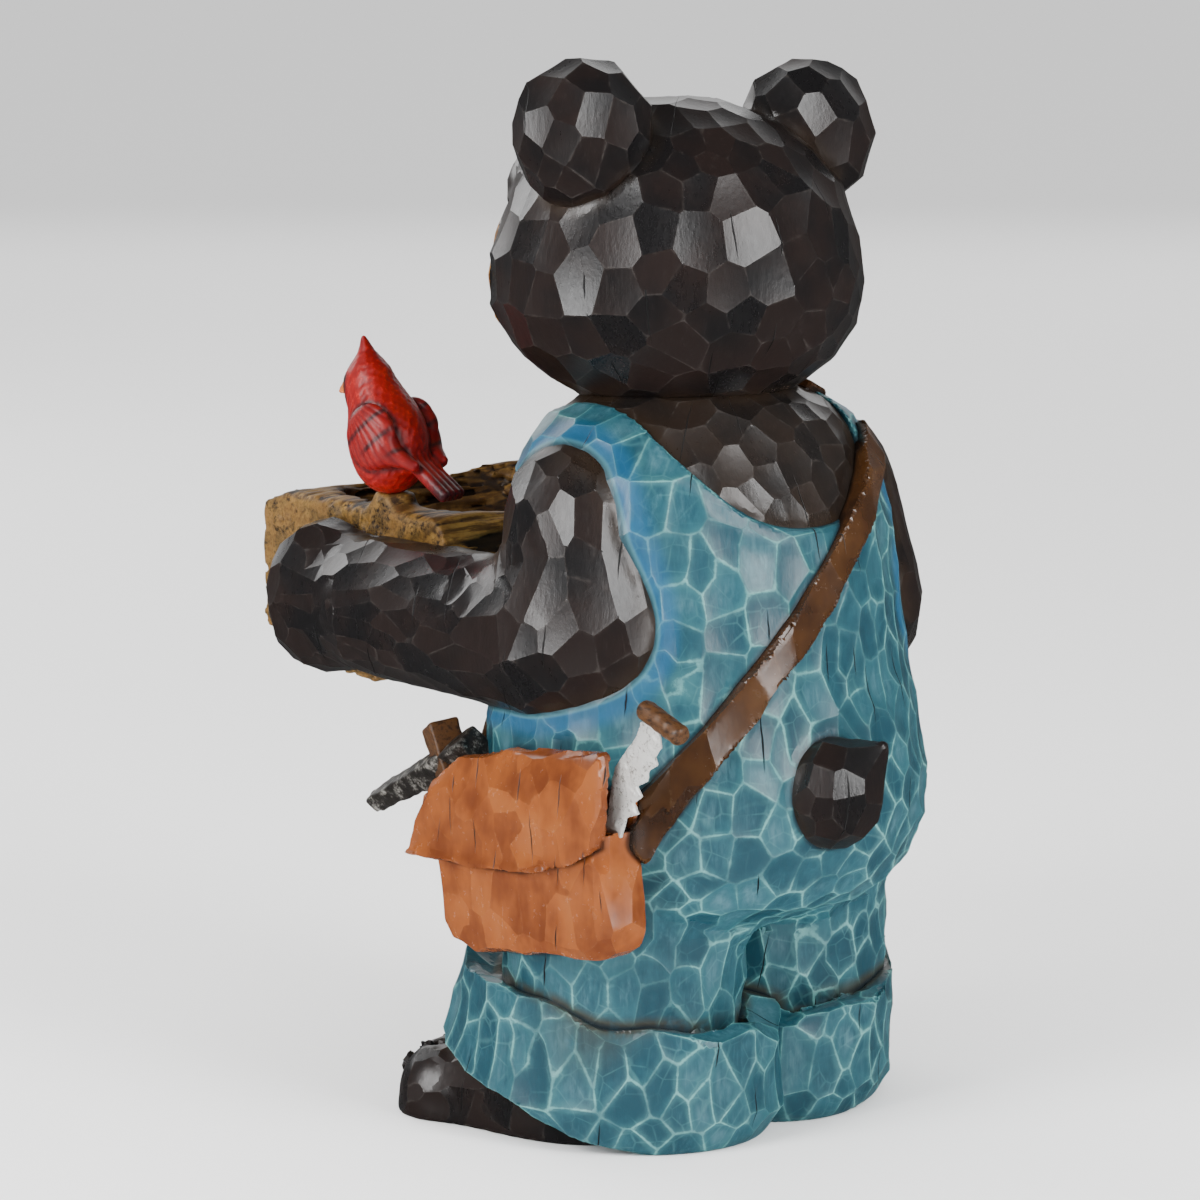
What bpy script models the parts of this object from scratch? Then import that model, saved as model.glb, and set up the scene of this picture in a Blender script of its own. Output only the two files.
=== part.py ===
"""Bear bird bath statue in the manner of a chip-carved wooden bear: one closed solid for each piece.

The figure's free form is set out on a drawing 508 units tall, and UNIT turns a drawing unit into
metres. Everything with a size of its own is a named value in metres. The bear faces -Y.
"""

import math

import bmesh
import bpy
import numpy as np

FIGURE_HEIGHT = 0.508
OVERALLS_THICKNESS = 0.0035
CUFF_HEIGHT = 0.052
CUFF_THICKNESS = 0.009
STRAP_WIDTH = 0.020
STRAP_THICKNESS = 0.005
SATCHEL_LENGTH = 0.127
SATCHEL_HEIGHT = 0.090
SATCHEL_DEPTH = 0.030
FLAP_THICKNESS = 0.005
LOG_LENGTH = 0.176
LOG_WIDTH = 0.158
LOG_HEIGHT = 0.094
BOWL_DEPTH = 0.046
BOWL_WALL = 0.016
CARDINAL_HEIGHT = 0.078
SAW_BLADE_LENGTH = 0.060
SAW_BLADE_WIDTH = 0.019
SAW_BLADE_THICKNESS = 0.003
SAW_TOOTH_PITCH = 0.006
SAW_HANDLE_LENGTH = 0.027
SAW_HANDLE_DIAMETER = 0.009
HAMMER_HEAD_LENGTH = 0.094
HAMMER_HEAD_SIZE = 0.018
HAMMER_HANDLE_LENGTH = 0.058
HAMMER_HANDLE_SIZE = 0.015
CHIP_WIDTH = 0.024
FIT_GAP = 0.0004

DRAWING_HEIGHT = 508.0
UNIT = FIGURE_HEIGHT / DRAWING_HEIGHT


def units(size):
    """A size in metres as drawing units."""
    return size / UNIT


# Section through the body from the crotch to the neck: height, half width, half depth, middle in Y.
TORSO = (
    (104, 70, 60, 8),
    (112, 88, 75, 9),
    (125, 100, 85, 10),
    (145, 107, 91, 11),
    (170, 108, 92, 11),
    (200, 103, 88, 11),
    (226, 96, 83, 11),
    (260, 91, 78, 11),
    (295, 90, 72, 9),
    (320, 86, 64, 5),
    (338, 72, 54, 2),
    (350, 50, 42, 0),
)
HEAD = ((0, -9, 410), (88, 81, 75))
CHEEKS = ((0, -12, 394), (91, 80, 56))
MUZZLE = ((0, -82, 398), (46, 36, 32))
NOSE = ((0, -116, 410), (13, 9, 9))
BROW = ((0, -72, 440), (50, 24, 26))
HEAD_ROLL = 0.032
EAR = ((69, 3, 467), (34, 29, 35))
EAR_HOLLOW = ((70, -34, 469), (20, 22, 21))
SHOULDER = ((77, 9, 289), (33, 39, 42))
ELBOW = ((79, 16, 243), (35, 48, 46))
FOREARM = ((84, 2, 236), (94, -118, 238), 37, 34)
PAW = ((93, -158, 238), (34, 37, 38))
LEG = ((48, 10, 130), (50, 8, 40), 57, 52)
ANKLE = (48, 0)
RIGHT_FOOT_AHEAD = 7
SPLAY = math.radians(25)
CUFF_REACH = (82, 66)
CUFF_SLOPE_TOP = 0.19
CUFF_SLOPE_FOOT = 0.33
FOOT = ((62, -41, 8), (47, 61, 27), 25)
INSTEP = ((56, -18, 14), (52, 62, 40))
TAIL = ((2, 103, 160), (-7, 116, 187), 24, 12)
LOG_MIDDLE = (0, -152, 247)
CARDINAL_PERCH = (80, -130, 289)


def spline(rows, heights):
    """Smooth values between the rows, which hold a height and then the values at that height."""
    rows = np.array(rows, float)
    knots, values = rows[:, 0], rows[:, 1:]
    slopes = np.gradient(values, knots, axis=0)
    at = np.clip(heights, knots[0], knots[-1])
    k = np.clip(np.searchsorted(knots, at, side="right") - 1, 0, len(knots) - 2)
    span = (knots[k + 1] - knots[k])[:, None]
    t = (at - knots[k])[:, None] / span
    rise = t * t * (3 - 2 * t)
    return (
        values[k] * (1 - rise)
        + values[k + 1] * rise
        + span * t * (1 - t) * (slopes[k] * (1 - t) - slopes[k + 1] * t)
    )


def ellipsoid(p, middle, radii):
    """Distance to an ellipsoid, near enough close to its surface."""
    q = (p - np.array(middle, float)) / np.array(radii, float)
    near = np.sqrt((q * q).sum(1)) + 1e-9
    steep = np.sqrt(((q / np.array(radii, float)) ** 2).sum(1)) + 1e-9
    return near * (near - 1) / steep


def capsule(p, start, end, start_radius, end_radius):
    """Distance to a rod with round ends whose radius changes evenly along it."""
    a, run = np.array(start, float), np.array(end, float) - np.array(start, float)
    t = np.clip(((p - a) @ run) / (run @ run), 0, 1)
    reach = p - a - t[:, None] * run
    return np.sqrt((reach * reach).sum(1)) - (start_radius + t * (end_radius - start_radius))


def rounded_box(p, middle, half, corner, turn=None):
    """Distance to a box with round edges; turn holds the box's own axes as rows."""
    q = p - np.array(middle, float)
    if turn is not None:
        q = q @ np.array(turn, float).T
    corner = min(corner, min(half) * 0.98)
    q = np.abs(q) - (np.array(half, float) - corner)
    outside = np.maximum(q, 0)
    return np.sqrt((outside * outside).sum(1)) + np.minimum(q.max(1), 0) - corner


def outline(flat, corners):
    """Distance to a flat polygon, below nothing inside it."""
    corners = np.array(corners, float)
    best = np.full(len(flat), np.inf)
    inside = np.zeros(len(flat), bool)
    for (ax, ay), (bx, by) in zip(corners, np.roll(corners, -1, axis=0)):
        run = np.array((bx - ax, by - ay))
        reach = flat - (ax, ay)
        t = np.clip((reach @ run) / (run @ run), 0, 1)
        best = np.minimum(best, ((reach - t[:, None] * run) ** 2).sum(1))
        crosses = (ay > flat[:, 1]) != (by > flat[:, 1])
        with np.errstate(divide="ignore", invalid="ignore"):
            meets = (bx - ax) * (flat[:, 1] - ay) / (by - ay) + ax
        inside ^= crosses & (flat[:, 0] < meets)
    return np.sqrt(best) * np.where(inside, -1, 1)


def blend(a, b, width):
    """Union of two fields with a fillet about this wide."""
    h = np.clip(0.5 + 0.5 * (b - a) / width, 0, 1)
    return b + (a - b) * h - width * h * (1 - h)


def carve(a, b, width):
    """Field a with field b taken out of it, the edge rounded about this wide."""
    return -blend(-a, b, width)


def mirrored(p):
    """The points folded onto the bear's left side, so one limb is drawn for both."""
    return np.column_stack([np.abs(p[:, 0]), p[:, 1], p[:, 2]])


def torso(p):
    """Distance to the body without limbs."""
    wide, deep, middle = spline(TORSO, p[:, 2]).T
    ring = np.sqrt((p[:, 0] / wide) ** 2 + ((p[:, 1] - middle) / deep) ** 2)
    side = (ring - 1) * np.minimum(wide, deep)
    ends = np.maximum(p[:, 2] - TORSO[-1][0], TORSO[0][0] - p[:, 2])
    return carve(side, -ends, 8)


def head(p, m):
    """Distance to the head with its cheeks, brow, muzzle, nose and ears."""
    p, m = p.copy(), m.copy()
    m[:, 2] -= HEAD_ROLL * p[:, 0]
    p[:, 2] -= HEAD_ROLL * p[:, 0]
    skull = blend(ellipsoid(p, *HEAD), ellipsoid(p, *CHEEKS), 14)
    skull = blend(skull, ellipsoid(p, *BROW), 12)
    ear = carve(ellipsoid(m, *EAR), ellipsoid(m, *EAR_HOLLOW), 5)
    skull = blend(skull, ear, 5)
    eye = ellipsoid(m, (27, -92, 431), (8, 8, 9))
    skull = blend(skull, eye, 1.5)
    snout = blend(ellipsoid(p, *MUZZLE), ellipsoid(p, *NOSE), 3)
    mouth = capsule(m, (0, -118, 392), (22, -108, 383), 2, 1.5)
    snout = carve(snout, mouth, 2)
    return blend(skull, snout, 6)


def bare_arm(m):
    """Distance to one arm as far as the wrist."""
    upper = blend(ellipsoid(m, *SHOULDER), ellipsoid(m, *ELBOW), 24)
    return blend(upper, capsule(m, *FOREARM), 16)


def arm(m):
    """Distance to one arm with its paw and the grooves between the toes."""
    whole = bare_arm(m)
    paw = ellipsoid(m, *PAW)
    for step in (-1, 0, 1):
        z = PAW[0][2] + step * 16
        groove = capsule(m, (112, -190, z), (134, -168, z), 3.2, 3.2)
        paw = carve(paw, groove, 4)
    return blend(whole, paw, 14)


def along_foot(m):
    """How far forwards of the ankle a point is along the foot, and how far outwards."""
    x, y = m[:, 0] - ANKLE[0], m[:, 1] - ANKLE[1]
    forwards = x * math.sin(SPLAY) - y * math.cos(SPLAY)
    return forwards, x * math.cos(SPLAY) + y * math.sin(SPLAY)


def foot(m):
    """Distance to one foot, with the grooves between its toes."""
    sin, cos = math.sin(SPLAY), math.cos(SPLAY)
    turn = ((cos, sin, 0), (sin, -cos, 0), (0, 0, 1))
    middle, half, corner = FOOT
    whole = rounded_box(m, middle, half, corner, turn)
    whole = blend(whole, ellipsoid(m, *INSTEP), 14)
    for step in (-1, 0, 1):
        across = np.array((cos, sin)) * step * 22
        tip = np.array(middle[:2]) + np.array((sin, -cos)) * (half[1] + 2) + across
        back = tip - np.array((sin, -cos)) * 26
        groove = capsule(m, (*tip, 8), (*back, middle[2] + half[2] + 1), 4, 2.5)
        whole = carve(whole, groove, 5)
    return whole


def cuff(m):
    """Distance to one rolled trouser cuff, which rises towards the toes."""
    forwards, outwards = along_foot(m)
    long, wide = CUFF_REACH
    ring = (np.sqrt((forwards / long) ** 2 + (outwards / wide) ** 2) - 1) * wide
    ring += 0.2 * np.clip(forwards / long, 0, 1) * (m[:, 2] - 40)
    ring += 7 * np.clip(1 - m[:, 2] / 18, 0, 1) ** 2
    top = m[:, 2] - (17 + units(CUFF_HEIGHT) + CUFF_SLOPE_TOP * forwards)
    hem = 12 + CUFF_SLOPE_FOOT * forwards - m[:, 2]
    body = carve(ring, -top, 5)
    inner = ring + units(CUFF_THICKNESS)
    lip = np.maximum(inner, -(m[:, 2] - (10 + units(CUFF_HEIGHT) + CUFF_SLOPE_TOP * forwards)))
    body = carve(body, lip, 3)
    return carve(body, -hem, 5)


def scoop(p, depth_back, depth_front):
    """Below nothing where the neckline leaves the shoulders and the nape bare."""
    low = np.where(p[:, 1] > 10, depth_back, depth_front)
    tall = np.maximum(352 - low, 1)
    ring = (np.abs(p[:, 0]) / 61) ** 2.3 + (np.maximum(352 - p[:, 2], 0) / tall) ** 2.3
    return (ring ** (1 / 2.3) - 1) * 50


def overalls(p, m, body):
    """Distance to the layer of cloth over the body, with its neckline and armholes."""
    cloth = body - units(OVERALLS_THICKNESS)
    cloth = np.maximum(cloth, 14 - p[:, 2])
    cloth = np.maximum(cloth, -scoop(p, 290, 300))
    cloth = np.maximum(cloth, 2.2 - bare_arm(m))
    return cloth


STRAP_BACK = ((-70, 47, 322), (9, 81, 251), (76, 80, 182))
STRAP_TAIL = ((56, 91, 208), (101, 76, 150))
STRAP_FRONT = ((-66, 14, 346), (15, -66, 262), (108, -40, 180))


def strap(p, clothed):
    """Distance to the shoulder strap, a band round the body in one plane behind and one in front."""
    bands = []
    for corners, side in ((STRAP_BACK, 1), (STRAP_FRONT, -1)):
        a, b, c = (np.array(corner, float) for corner in corners)
        normal = np.cross(b - a, c - a)
        normal /= np.linalg.norm(normal)
        across = np.abs((p - a) @ normal) - units(STRAP_WIDTH) / 2
        half = np.maximum(across, -side * (p[:, 1] - 18))
        bands.append(np.maximum(half, 140 - p[:, 2]))
    tail_end = np.array(STRAP_TAIL, float)
    run = tail_end[1] - tail_end[0]
    run /= np.linalg.norm(run)
    out = np.array((0.62, 0.78, 0.0))
    across = np.cross(run, out)
    across /= np.linalg.norm(across)
    out = np.cross(across, run)
    reach = np.linalg.norm(tail_end[1] - tail_end[0]) / 2
    half = (reach, units(STRAP_WIDTH) / 2, 8)
    middle = tail_end.mean(axis=0) - out * 8
    straight = rounded_box(p, middle, half, 2, (run, across, out))
    band = np.minimum(*bands)
    band = np.maximum(band, p[:, 2] - 352)
    band = np.maximum(band, -70 - p[:, 0])
    band = np.maximum(band, np.abs(clothed) - units(STRAP_THICKNESS))
    return np.minimum(band, straight)


SATCHEL_MIDDLE = (13, 140)
SATCHEL_OUTSIDE = 124
SATCHEL_TILT = math.radians(8)


def satchel_flat(p):
    """Place on the satchel's face as shares of its half length and half height."""
    y, z = p[:, 1] - SATCHEL_MIDDLE[0], p[:, 2] - SATCHEL_MIDDLE[1]
    along = y * math.cos(SATCHEL_TILT) + z * math.sin(SATCHEL_TILT)
    up = z * math.cos(SATCHEL_TILT) - y * math.sin(SATCHEL_TILT)
    return along / (units(SATCHEL_LENGTH) / 2), up / (units(SATCHEL_HEIGHT) / 2)


BAG_OUTLINE = (
    (-1.0, -0.75), (-0.88, -0.93), (-0.7, -1.0), (0.8, -1.0), (0.97, -0.9), (1.02, -0.7),
    (1.03, 0.55), (0.6, 0.95), (-0.4, 0.95), (-1.0, 0.2),
)
FLAP_OUTLINE = (
    (-1.28, 0.03), (-1.02, 0.42), (-0.8, 0.74), (-0.45, 1.06), (0.1, 1.16), (0.6, 1.08), (1.16, 1.06),
    (1.18, 0.5), (1.0, 0.22), (0.6, 0.0), (0.1, -0.14), (-0.6, -0.13), (-1.1, -0.04),
)


def leather(p):
    """Distance to the satchel: a bag, its flap with a flared corner, and a mouth open at both ends."""
    along, up = satchel_flat(p)
    scale = np.array((units(SATCHEL_LENGTH) / 2, units(SATCHEL_HEIGHT) / 2))
    flat = np.column_stack([along, up]) * scale
    bag_2d = outline(flat, np.array(BAG_OUTLINE) * scale)
    flap_2d = outline(flat, np.array(FLAP_OUTLINE) * scale)
    inside = SATCHEL_OUTSIDE - units(SATCHEL_DEPTH)
    swell = 3.0 * np.clip(1 - along * along * 0.6, 0, 1) * np.clip(1 - up * up * 0.5, 0, 1)
    face = SATCHEL_OUTSIDE - units(FLAP_THICKNESS) - 2 + swell
    bag = carve(bag_2d, -(p[:, 0] - face), 8)
    lift = 4.0 * np.clip(-along - 0.55, 0, 1) * np.clip(1.1 - up, 0, 1.2)
    droop = 12.0 * np.clip(up - 0.35, 0, 1) ** 2
    flap_face = face + units(FLAP_THICKNESS) + lift - droop
    flap = carve(flap_2d, -(p[:, 0] - flap_face), 2.5)
    mouth = np.maximum(inside + 4 - p[:, 0], p[:, 0] - face + 3)
    for_saw = np.maximum(mouth, np.maximum(0.52 - along, 0.42 - up) * 45)
    for_hammer = np.maximum(mouth, np.maximum(along + 0.42, 0.30 - up) * 45)
    whole = np.maximum(blend(bag, flap, 1.5), -np.minimum(for_saw, for_hammer))
    return np.maximum(whole, inside - p[:, 0])


def tail(p):
    """Distance to the short tail, a drop with its tip up."""
    return capsule(p, *TAIL)


def figure(p):
    """The three painted layers of the casting: fur, cloth and leather."""
    m = mirrored(p)
    sides = [p * (side, 1, 1) + (0, step, 0) for side, step in ((1, 0), (-1, RIGHT_FOOT_AHEAD))]
    legs = np.minimum(*[capsule(q, *LEG) for q in sides])
    feet = np.minimum(*[foot(q) for q in sides])
    cuffs = np.minimum(*[cuff(q) for q in sides])
    body = blend(torso(p), legs, 14)
    skin = np.minimum(body, head(p, m))
    cloth = np.minimum(overalls(p, m, body), cuffs)
    clothed = np.minimum(body, cloth)
    bag = np.minimum(leather(p), strap(p, clothed))
    fur = np.minimum(np.minimum(skin, arm(m)), np.minimum(feet, tail(p)))
    return fur, cloth, bag


def casting(p):
    """Distance to the whole casting, flat underneath."""
    fur, cloth, bag = figure(p)
    return np.maximum(np.minimum(np.minimum(fur, cloth), bag), -p[:, 2])


def log_hull(p, grow):
    """Distance to the log's smooth oval envelope, made larger all round by grow."""
    q = p - np.array(LOG_MIDDLE, float)
    half = (units(LOG_LENGTH) / 2, units(LOG_WIDTH) / 2, units(LOG_HEIGHT) * 0.54)
    ring = (np.abs(q[:, 1] / half[1]) ** 3 + np.abs(q[:, 2] / half[2]) ** 3) ** (1 / 3)
    oval = (ring - 1) * half[2]
    top = q[:, 2] - units(LOG_HEIGHT) * 0.44
    return np.maximum(np.maximum(oval, np.abs(q[:, 0]) - half[0]), top) - grow


def log(p):
    """Distance to the hollowed log, its bark grooved along its length."""
    q = p - np.array(LOG_MIDDLE, float)
    turn = np.arctan2(q[:, 2], q[:, 1])
    bark = np.zeros(len(p))
    for share, waves, drift in ((1.6, 9, 0.020), (1.1, 17, -0.034), (0.8, 25, 0.05)):
        bark += share * (1 + np.sin(waves * turn + drift * q[:, 0] + waves)) / 2
    half_width, half_length = units(LOG_WIDTH) / 2, units(LOG_LENGTH) / 2
    top = units(LOG_HEIGHT) * 0.44
    dip = 3.0 + 2.5 * np.sin(q[:, 0] * 0.035 + 1.0) + 5.0 * np.clip(np.abs(q[:, 0]) / half_length, 0, 1) ** 6
    whole = log_hull(p, 0) + bark
    whole = carve(whole, -(q[:, 2] - top + dip), 7)
    wall = units(BOWL_WALL)
    hollow_half = (half_length - wall, half_width - wall)
    ring = ((np.abs(q[:, 0]) / hollow_half[0]) ** 4 + (np.abs(q[:, 1]) / hollow_half[1]) ** 3) ** (1 / 3.5)
    depth = (q[:, 2] - top) / units(BOWL_DEPTH)
    bowl = (np.sqrt(ring**2 + np.minimum(depth, 0) ** 2) - 1) * hollow_half[1] * 0.7
    whole = carve(whole, bowl, 4)
    x, y, z = CARDINAL_PERCH
    stump = capsule(p, (x - 3, y, z - 24), (x - 3, y, z - 8), 15, 12)
    stump = np.maximum(stump, p[:, 2] - z + 1)
    return np.maximum(blend(whole, stump, 5), np.abs(q[:, 0]) - half_length + 0.3)


BIRD_HEADING = (0.227, -0.974)


def cardinal(p):
    """Distance to the cardinal: plump body, crest, beak, folded wings and a flat tail."""
    size = units(CARDINAL_HEIGHT) / 78
    q = (p - np.array(CARDINAL_PERCH, float)) / size
    ahead = q[:, :2] @ np.array(BIRD_HEADING)
    aside = q[:, :2] @ np.array((-BIRD_HEADING[1], BIRD_HEADING[0]))
    q = np.column_stack([aside, ahead, q[:, 2]])
    m = mirrored(q)
    body = blend(ellipsoid(q, (0, 0, 25), (20, 20, 24)), ellipsoid(q, (0, 4, 36), (17, 16, 20)), 8)
    body = blend(body, ellipsoid(q, (0, 13, 53), (12.5, 13.5, 14)), 8)
    body = blend(body, capsule(q, (0, 14, 60), (0, 18, 76), 8.5, 2), 5)
    body = blend(body, capsule(q, (0, 24, 52), (0, 31, 49), 5, 1.2), 1.5)
    wing = blend(ellipsoid(m, (17.5, -2, 33), (6.5, 15, 17)), capsule(m, (16, -10, 26), (11, -24, 19), 6, 3), 6)
    body = blend(body, wing, 1.0)
    run = np.array((0, -30, -22)) / math.hypot(30, 22)
    turn = ((1, 0, 0), run, np.cross((1, 0, 0), run))
    plume = rounded_box(q, (0, -25, 13), (8.5, 18, 3.2), 2.4, turn)
    return blend(body, plume, 5) * size


def polygonise(field, low, high, pitch):
    """Points and four-sided faces of the surface where the field is nothing."""
    coarse = 4
    counts = [int(math.ceil((h - l) / pitch / coarse)) * coarse + 1 for l, h in zip(low, high)]
    axes = [l + pitch * np.arange(n) for l, n in zip(low, counts)]
    grid = np.stack(np.meshgrid(*axes, indexing="ij"), axis=-1)
    rough = grid[::coarse, ::coarse, ::coarse]
    rough = field(rough.reshape(-1, 3)).reshape(rough.shape[:3])
    nearest = [np.minimum((np.arange(n) + coarse // 2) // coarse, rough.shape[a] - 1) for a, n in enumerate(counts)]
    values = rough[np.ix_(*nearest)].copy()
    close = np.abs(values) < pitch * coarse * 1.6
    values[close] = field(grid[close])
    cells = tuple(n - 1 for n in counts)
    total, crossed = np.zeros(cells + (3,)), np.zeros(cells)
    quads = []
    index = np.full(cells, -1)
    edges = []
    for a in range(3):
        b, c = (a + 1) % 3, (a + 2) % 3
        start, end = [slice(None)] * 3, [slice(None)] * 3
        start[a], end[a] = slice(0, -1), slice(1, None)
        v0, v1 = values[tuple(start)], values[tuple(end)]
        cross = (v0 < 0) != (v1 < 0)
        share = np.where(cross, v0 / np.where(cross, v0 - v1, 1), 0)
        meets = grid[tuple(start)].copy()
        meets[..., a] += share * pitch
        meets[~cross] = 0
        for i in (0, 1):
            for j in (0, 1):
                part = [slice(None)] * 3
                part[b], part[c] = slice(i, i + cells[b]), slice(j, j + cells[c])
                total += meets[tuple(part)]
                crossed += cross[tuple(part)]
        edges.append((a, b, c, cross, v0 < 0))
    used = crossed > 0
    index[used] = np.arange(used.sum())
    points = total[used] / crossed[used][:, None]
    for a, b, c, cross, falls in edges:
        at = np.argwhere(cross)
        at = at[(at[:, b] > 0) & (at[:, c] > 0) & (at[:, b] < cells[b]) & (at[:, c] < cells[c])]
        corners = []
        for i, j in ((1, 1), (0, 1), (0, 0), (1, 0)):
            cell = at.copy()
            cell[:, b] -= i
            cell[:, c] -= j
            corners.append(index[tuple(cell.T)])
        faces = np.stack(corners, axis=1)
        turned = ~falls[tuple(at.T)]
        faces[turned] = faces[turned][:, ::-1]
        quads.append(faces)
    return points, np.concatenate(quads)


def normals_of(points, quads):
    """Unit normals at the points, averaged over the faces around them."""
    corner = points[quads]
    area = np.cross(corner[:, 2] - corner[:, 0], corner[:, 3] - corner[:, 1])
    normals = np.zeros_like(points)
    for k in range(4):
        np.add.at(normals, quads[:, k], area)
    return normals / (np.linalg.norm(normals, axis=1, keepdims=True) + 1e-12)


def chip(points, normals, layer, spacing, weight, squash):
    """The points moved onto flat cuts about this far apart, as a carver's gouge leaves them."""
    metric = points * np.array((1, 1, squash))
    order = np.random.default_rng(7).permutation(np.flatnonzero(weight > 0))[:9000]
    seeds = []
    for i in order:
        taken = metric[seeds] - metric[i] if seeds else np.full((1, 3), 1e6)
        if ((taken**2).sum(1) > (0.82 * spacing[i]) ** 2).all():
            seeds.append(i)
    seeds = np.array(seeds)
    moved = points.copy()
    for first in range(0, len(points), 2000):
        part = slice(first, first + 2000)
        x, n = points[part], normals[part]
        apart = ((metric[part][:, None] - metric[seeds][None]) ** 2).sum(2)
        facing = n @ normals[seeds].T
        height = np.einsum("ijk,jk->ij", points[seeds][None] - x[:, None], normals[seeds])
        height = np.maximum(height / np.maximum(facing, 0.3), 0) + 0.0055 * apart
        other = layer[part][:, None] != layer[seeds][None]
        height[other | (facing < 0.3) | (apart > 1.7 * spacing[seeds][None] ** 2)] = np.inf
        lift = height.min(1)
        lift = np.where(np.isfinite(lift), np.minimum(lift, 4) - 1.4, 0)
        moved[part] = x + n * (lift * weight[part])[:, None]
    return moved


def make_object(name, points, faces, look):
    """A mesh object in metres from points in drawing units, with its own material."""
    mesh = bpy.data.meshes.new(name)
    mesh.from_pydata((np.asarray(points) * UNIT).tolist(), [], [list(map(int, face)) for face in faces])
    mesh.validate()
    piece = bpy.data.objects.new(name, mesh)
    bpy.context.scene.collection.objects.link(piece)
    if look is None:
        piece.hide_render = True
        piece.display_type = "WIRE"
        return piece
    colour, roughness, metallic = look
    material = bpy.data.materials.new(name + "_finish")
    material.use_nodes = True
    shader = material.node_tree.nodes["Principled BSDF"]
    shader.inputs["Base Color"].default_value = (*colour, 1)
    shader.inputs["Roughness"].default_value = roughness
    shader.inputs["Metallic"].default_value = metallic
    mesh.materials.append(material)
    return piece


def evaluated_mesh(piece):
    """The mesh of the piece with its modifiers worked out, which are then removed."""
    graph = bpy.context.evaluated_depsgraph_get()
    mesh = bpy.data.meshes.new_from_object(piece.evaluated_get(graph))
    piece.modifiers.clear()
    return mesh


def simplified(piece, pitch, triangles, floor=False):
    """Replaces the piece's mesh with one of about this many triangles, flat where it meets the ground."""
    fuse = piece.modifiers.new("fuse", "REMESH")
    fuse.mode = "VOXEL"
    fuse.voxel_size = pitch * UNIT
    piece.data = evaluated_mesh(piece)
    bm = bmesh.new()
    bm.from_mesh(piece.data)
    bmesh.ops.triangulate(bm, faces=bm.faces)
    bm.to_mesh(piece.data)
    bm.free()
    thin = piece.modifiers.new("thin", "DECIMATE")
    thin.ratio = min(1.0, triangles / len(piece.data.polygons))
    mesh = evaluated_mesh(piece)
    if floor:
        for vertex in mesh.vertices:
            if vertex.co.z < 0.9 * UNIT:
                vertex.co.z = 0
    piece.data = mesh


def boolean(piece, other, operation):
    """Joins the other object to the piece or takes it away."""
    step = piece.modifiers.new(other.name, "BOOLEAN")
    step.operation = operation
    step.solver = "EXACT"
    step.object = other


def loft(name, rings, look):
    """A closed body through rings of corners, all with the same count."""
    count = len(rings[0])
    points = np.concatenate([np.asarray(ring, float) for ring in rings])
    faces = [list(range(count))[::-1], [len(points) - count + k for k in range(count)]]
    for r in range(len(rings) - 1):
        for k in range(count):
            a, b = r * count + k, r * count + (k + 1) % count
            faces.append([a, b, b + count, a + count])
    piece = make_object(name, points, faces, look)
    bm = bmesh.new()
    bm.from_mesh(piece.data)
    bmesh.ops.recalc_face_normals(bm, faces=bm.faces)
    bm.to_mesh(piece.data)
    bm.free()
    return piece


def bar(name, start, end, sizes, look, sides=4, twist=math.pi / 4):
    """A straight bar between two places, its width given at even steps along it."""
    start, end = np.array(start, float), np.array(end, float)
    run = (end - start) / np.linalg.norm(end - start)
    side = np.cross(run, (1, 0, 0))
    side /= np.linalg.norm(side)
    up = np.cross(run, side)
    rings = []
    for k, size in enumerate(sizes):
        middle = start + (end - start) * k / (len(sizes) - 1)
        ring = []
        for s in range(sides):
            angle = twist + math.tau * s / sides
            reach = size / 2 / (math.cos(math.pi / sides) if sides == 4 else 1)
            ring.append(middle + reach * (math.cos(angle) * side + math.sin(angle) * up))
        rings.append(ring)
    return loft(name, rings, look)


STEEL = ((0.30, 0.29, 0.27), 0.35, 0.8)
TOOL_PLANE = 106
SAW_TOP = (98, 212)
SAW_DIRECTION = (-0.545, -0.838)
SAW_HANDLE_DIRECTION = (0.955, -0.296)
HAMMER_TIP = (-112, 144)
HAMMER_DIRECTION = (0.875, 0.484)


def saw(name, look, grow=0.0):
    """The saw: a toothed blade with a round bar across its top as the handle."""
    down, top = np.array(SAW_DIRECTION), np.array(SAW_TOP, float)
    aside = np.array((-down[1], down[0]))
    if aside[0] < 0:
        aside = -aside
    length, width = units(SAW_BLADE_LENGTH), units(SAW_BLADE_WIDTH)
    teeth = max(3, int(length * 0.75 / units(SAW_TOOTH_PITCH)))
    edge = [(-3, -width * 0.28), (length * 0.28, -width * 0.5), (length, -width * 0.42)]
    edge.append((length, width * 0.36))
    for k in range(teeth, 0, -1):
        at = length * 0.2 + (length * 0.75) * k / teeth
        edge.append((at, width * 0.5 if grow == 0 else width * 0.5))
        if grow == 0:
            edge.append((at - units(SAW_TOOTH_PITCH) * 0.62, width * 0.36))
    edge.append((-3, width * 0.30))
    flat = [top + a * down + b * aside for a, b in edge]
    if grow:
        middle = np.mean(flat, axis=0)
        flat = [middle + (f - middle) * (1 + 2.2 * grow / width) for f in flat]
    half = units(SAW_BLADE_THICKNESS) / 2 + grow
    rings = [[(TOOL_PLANE + s * half, y, z) for y, z in flat] for s in (-1, 1)]
    blade = loft(name, rings, look)
    along = np.array(SAW_HANDLE_DIRECTION) * units(SAW_HANDLE_LENGTH) / 2
    a, b = top - along, top + along
    thick = units(SAW_HANDLE_DIAMETER) + 2 * grow
    handle = bar(name + "_grip", (TOOL_PLANE, *a), (TOOL_PLANE, *b), (thick,) * 4, None, sides=12)
    boolean(blade, handle, "UNION")
    return blade


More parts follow.
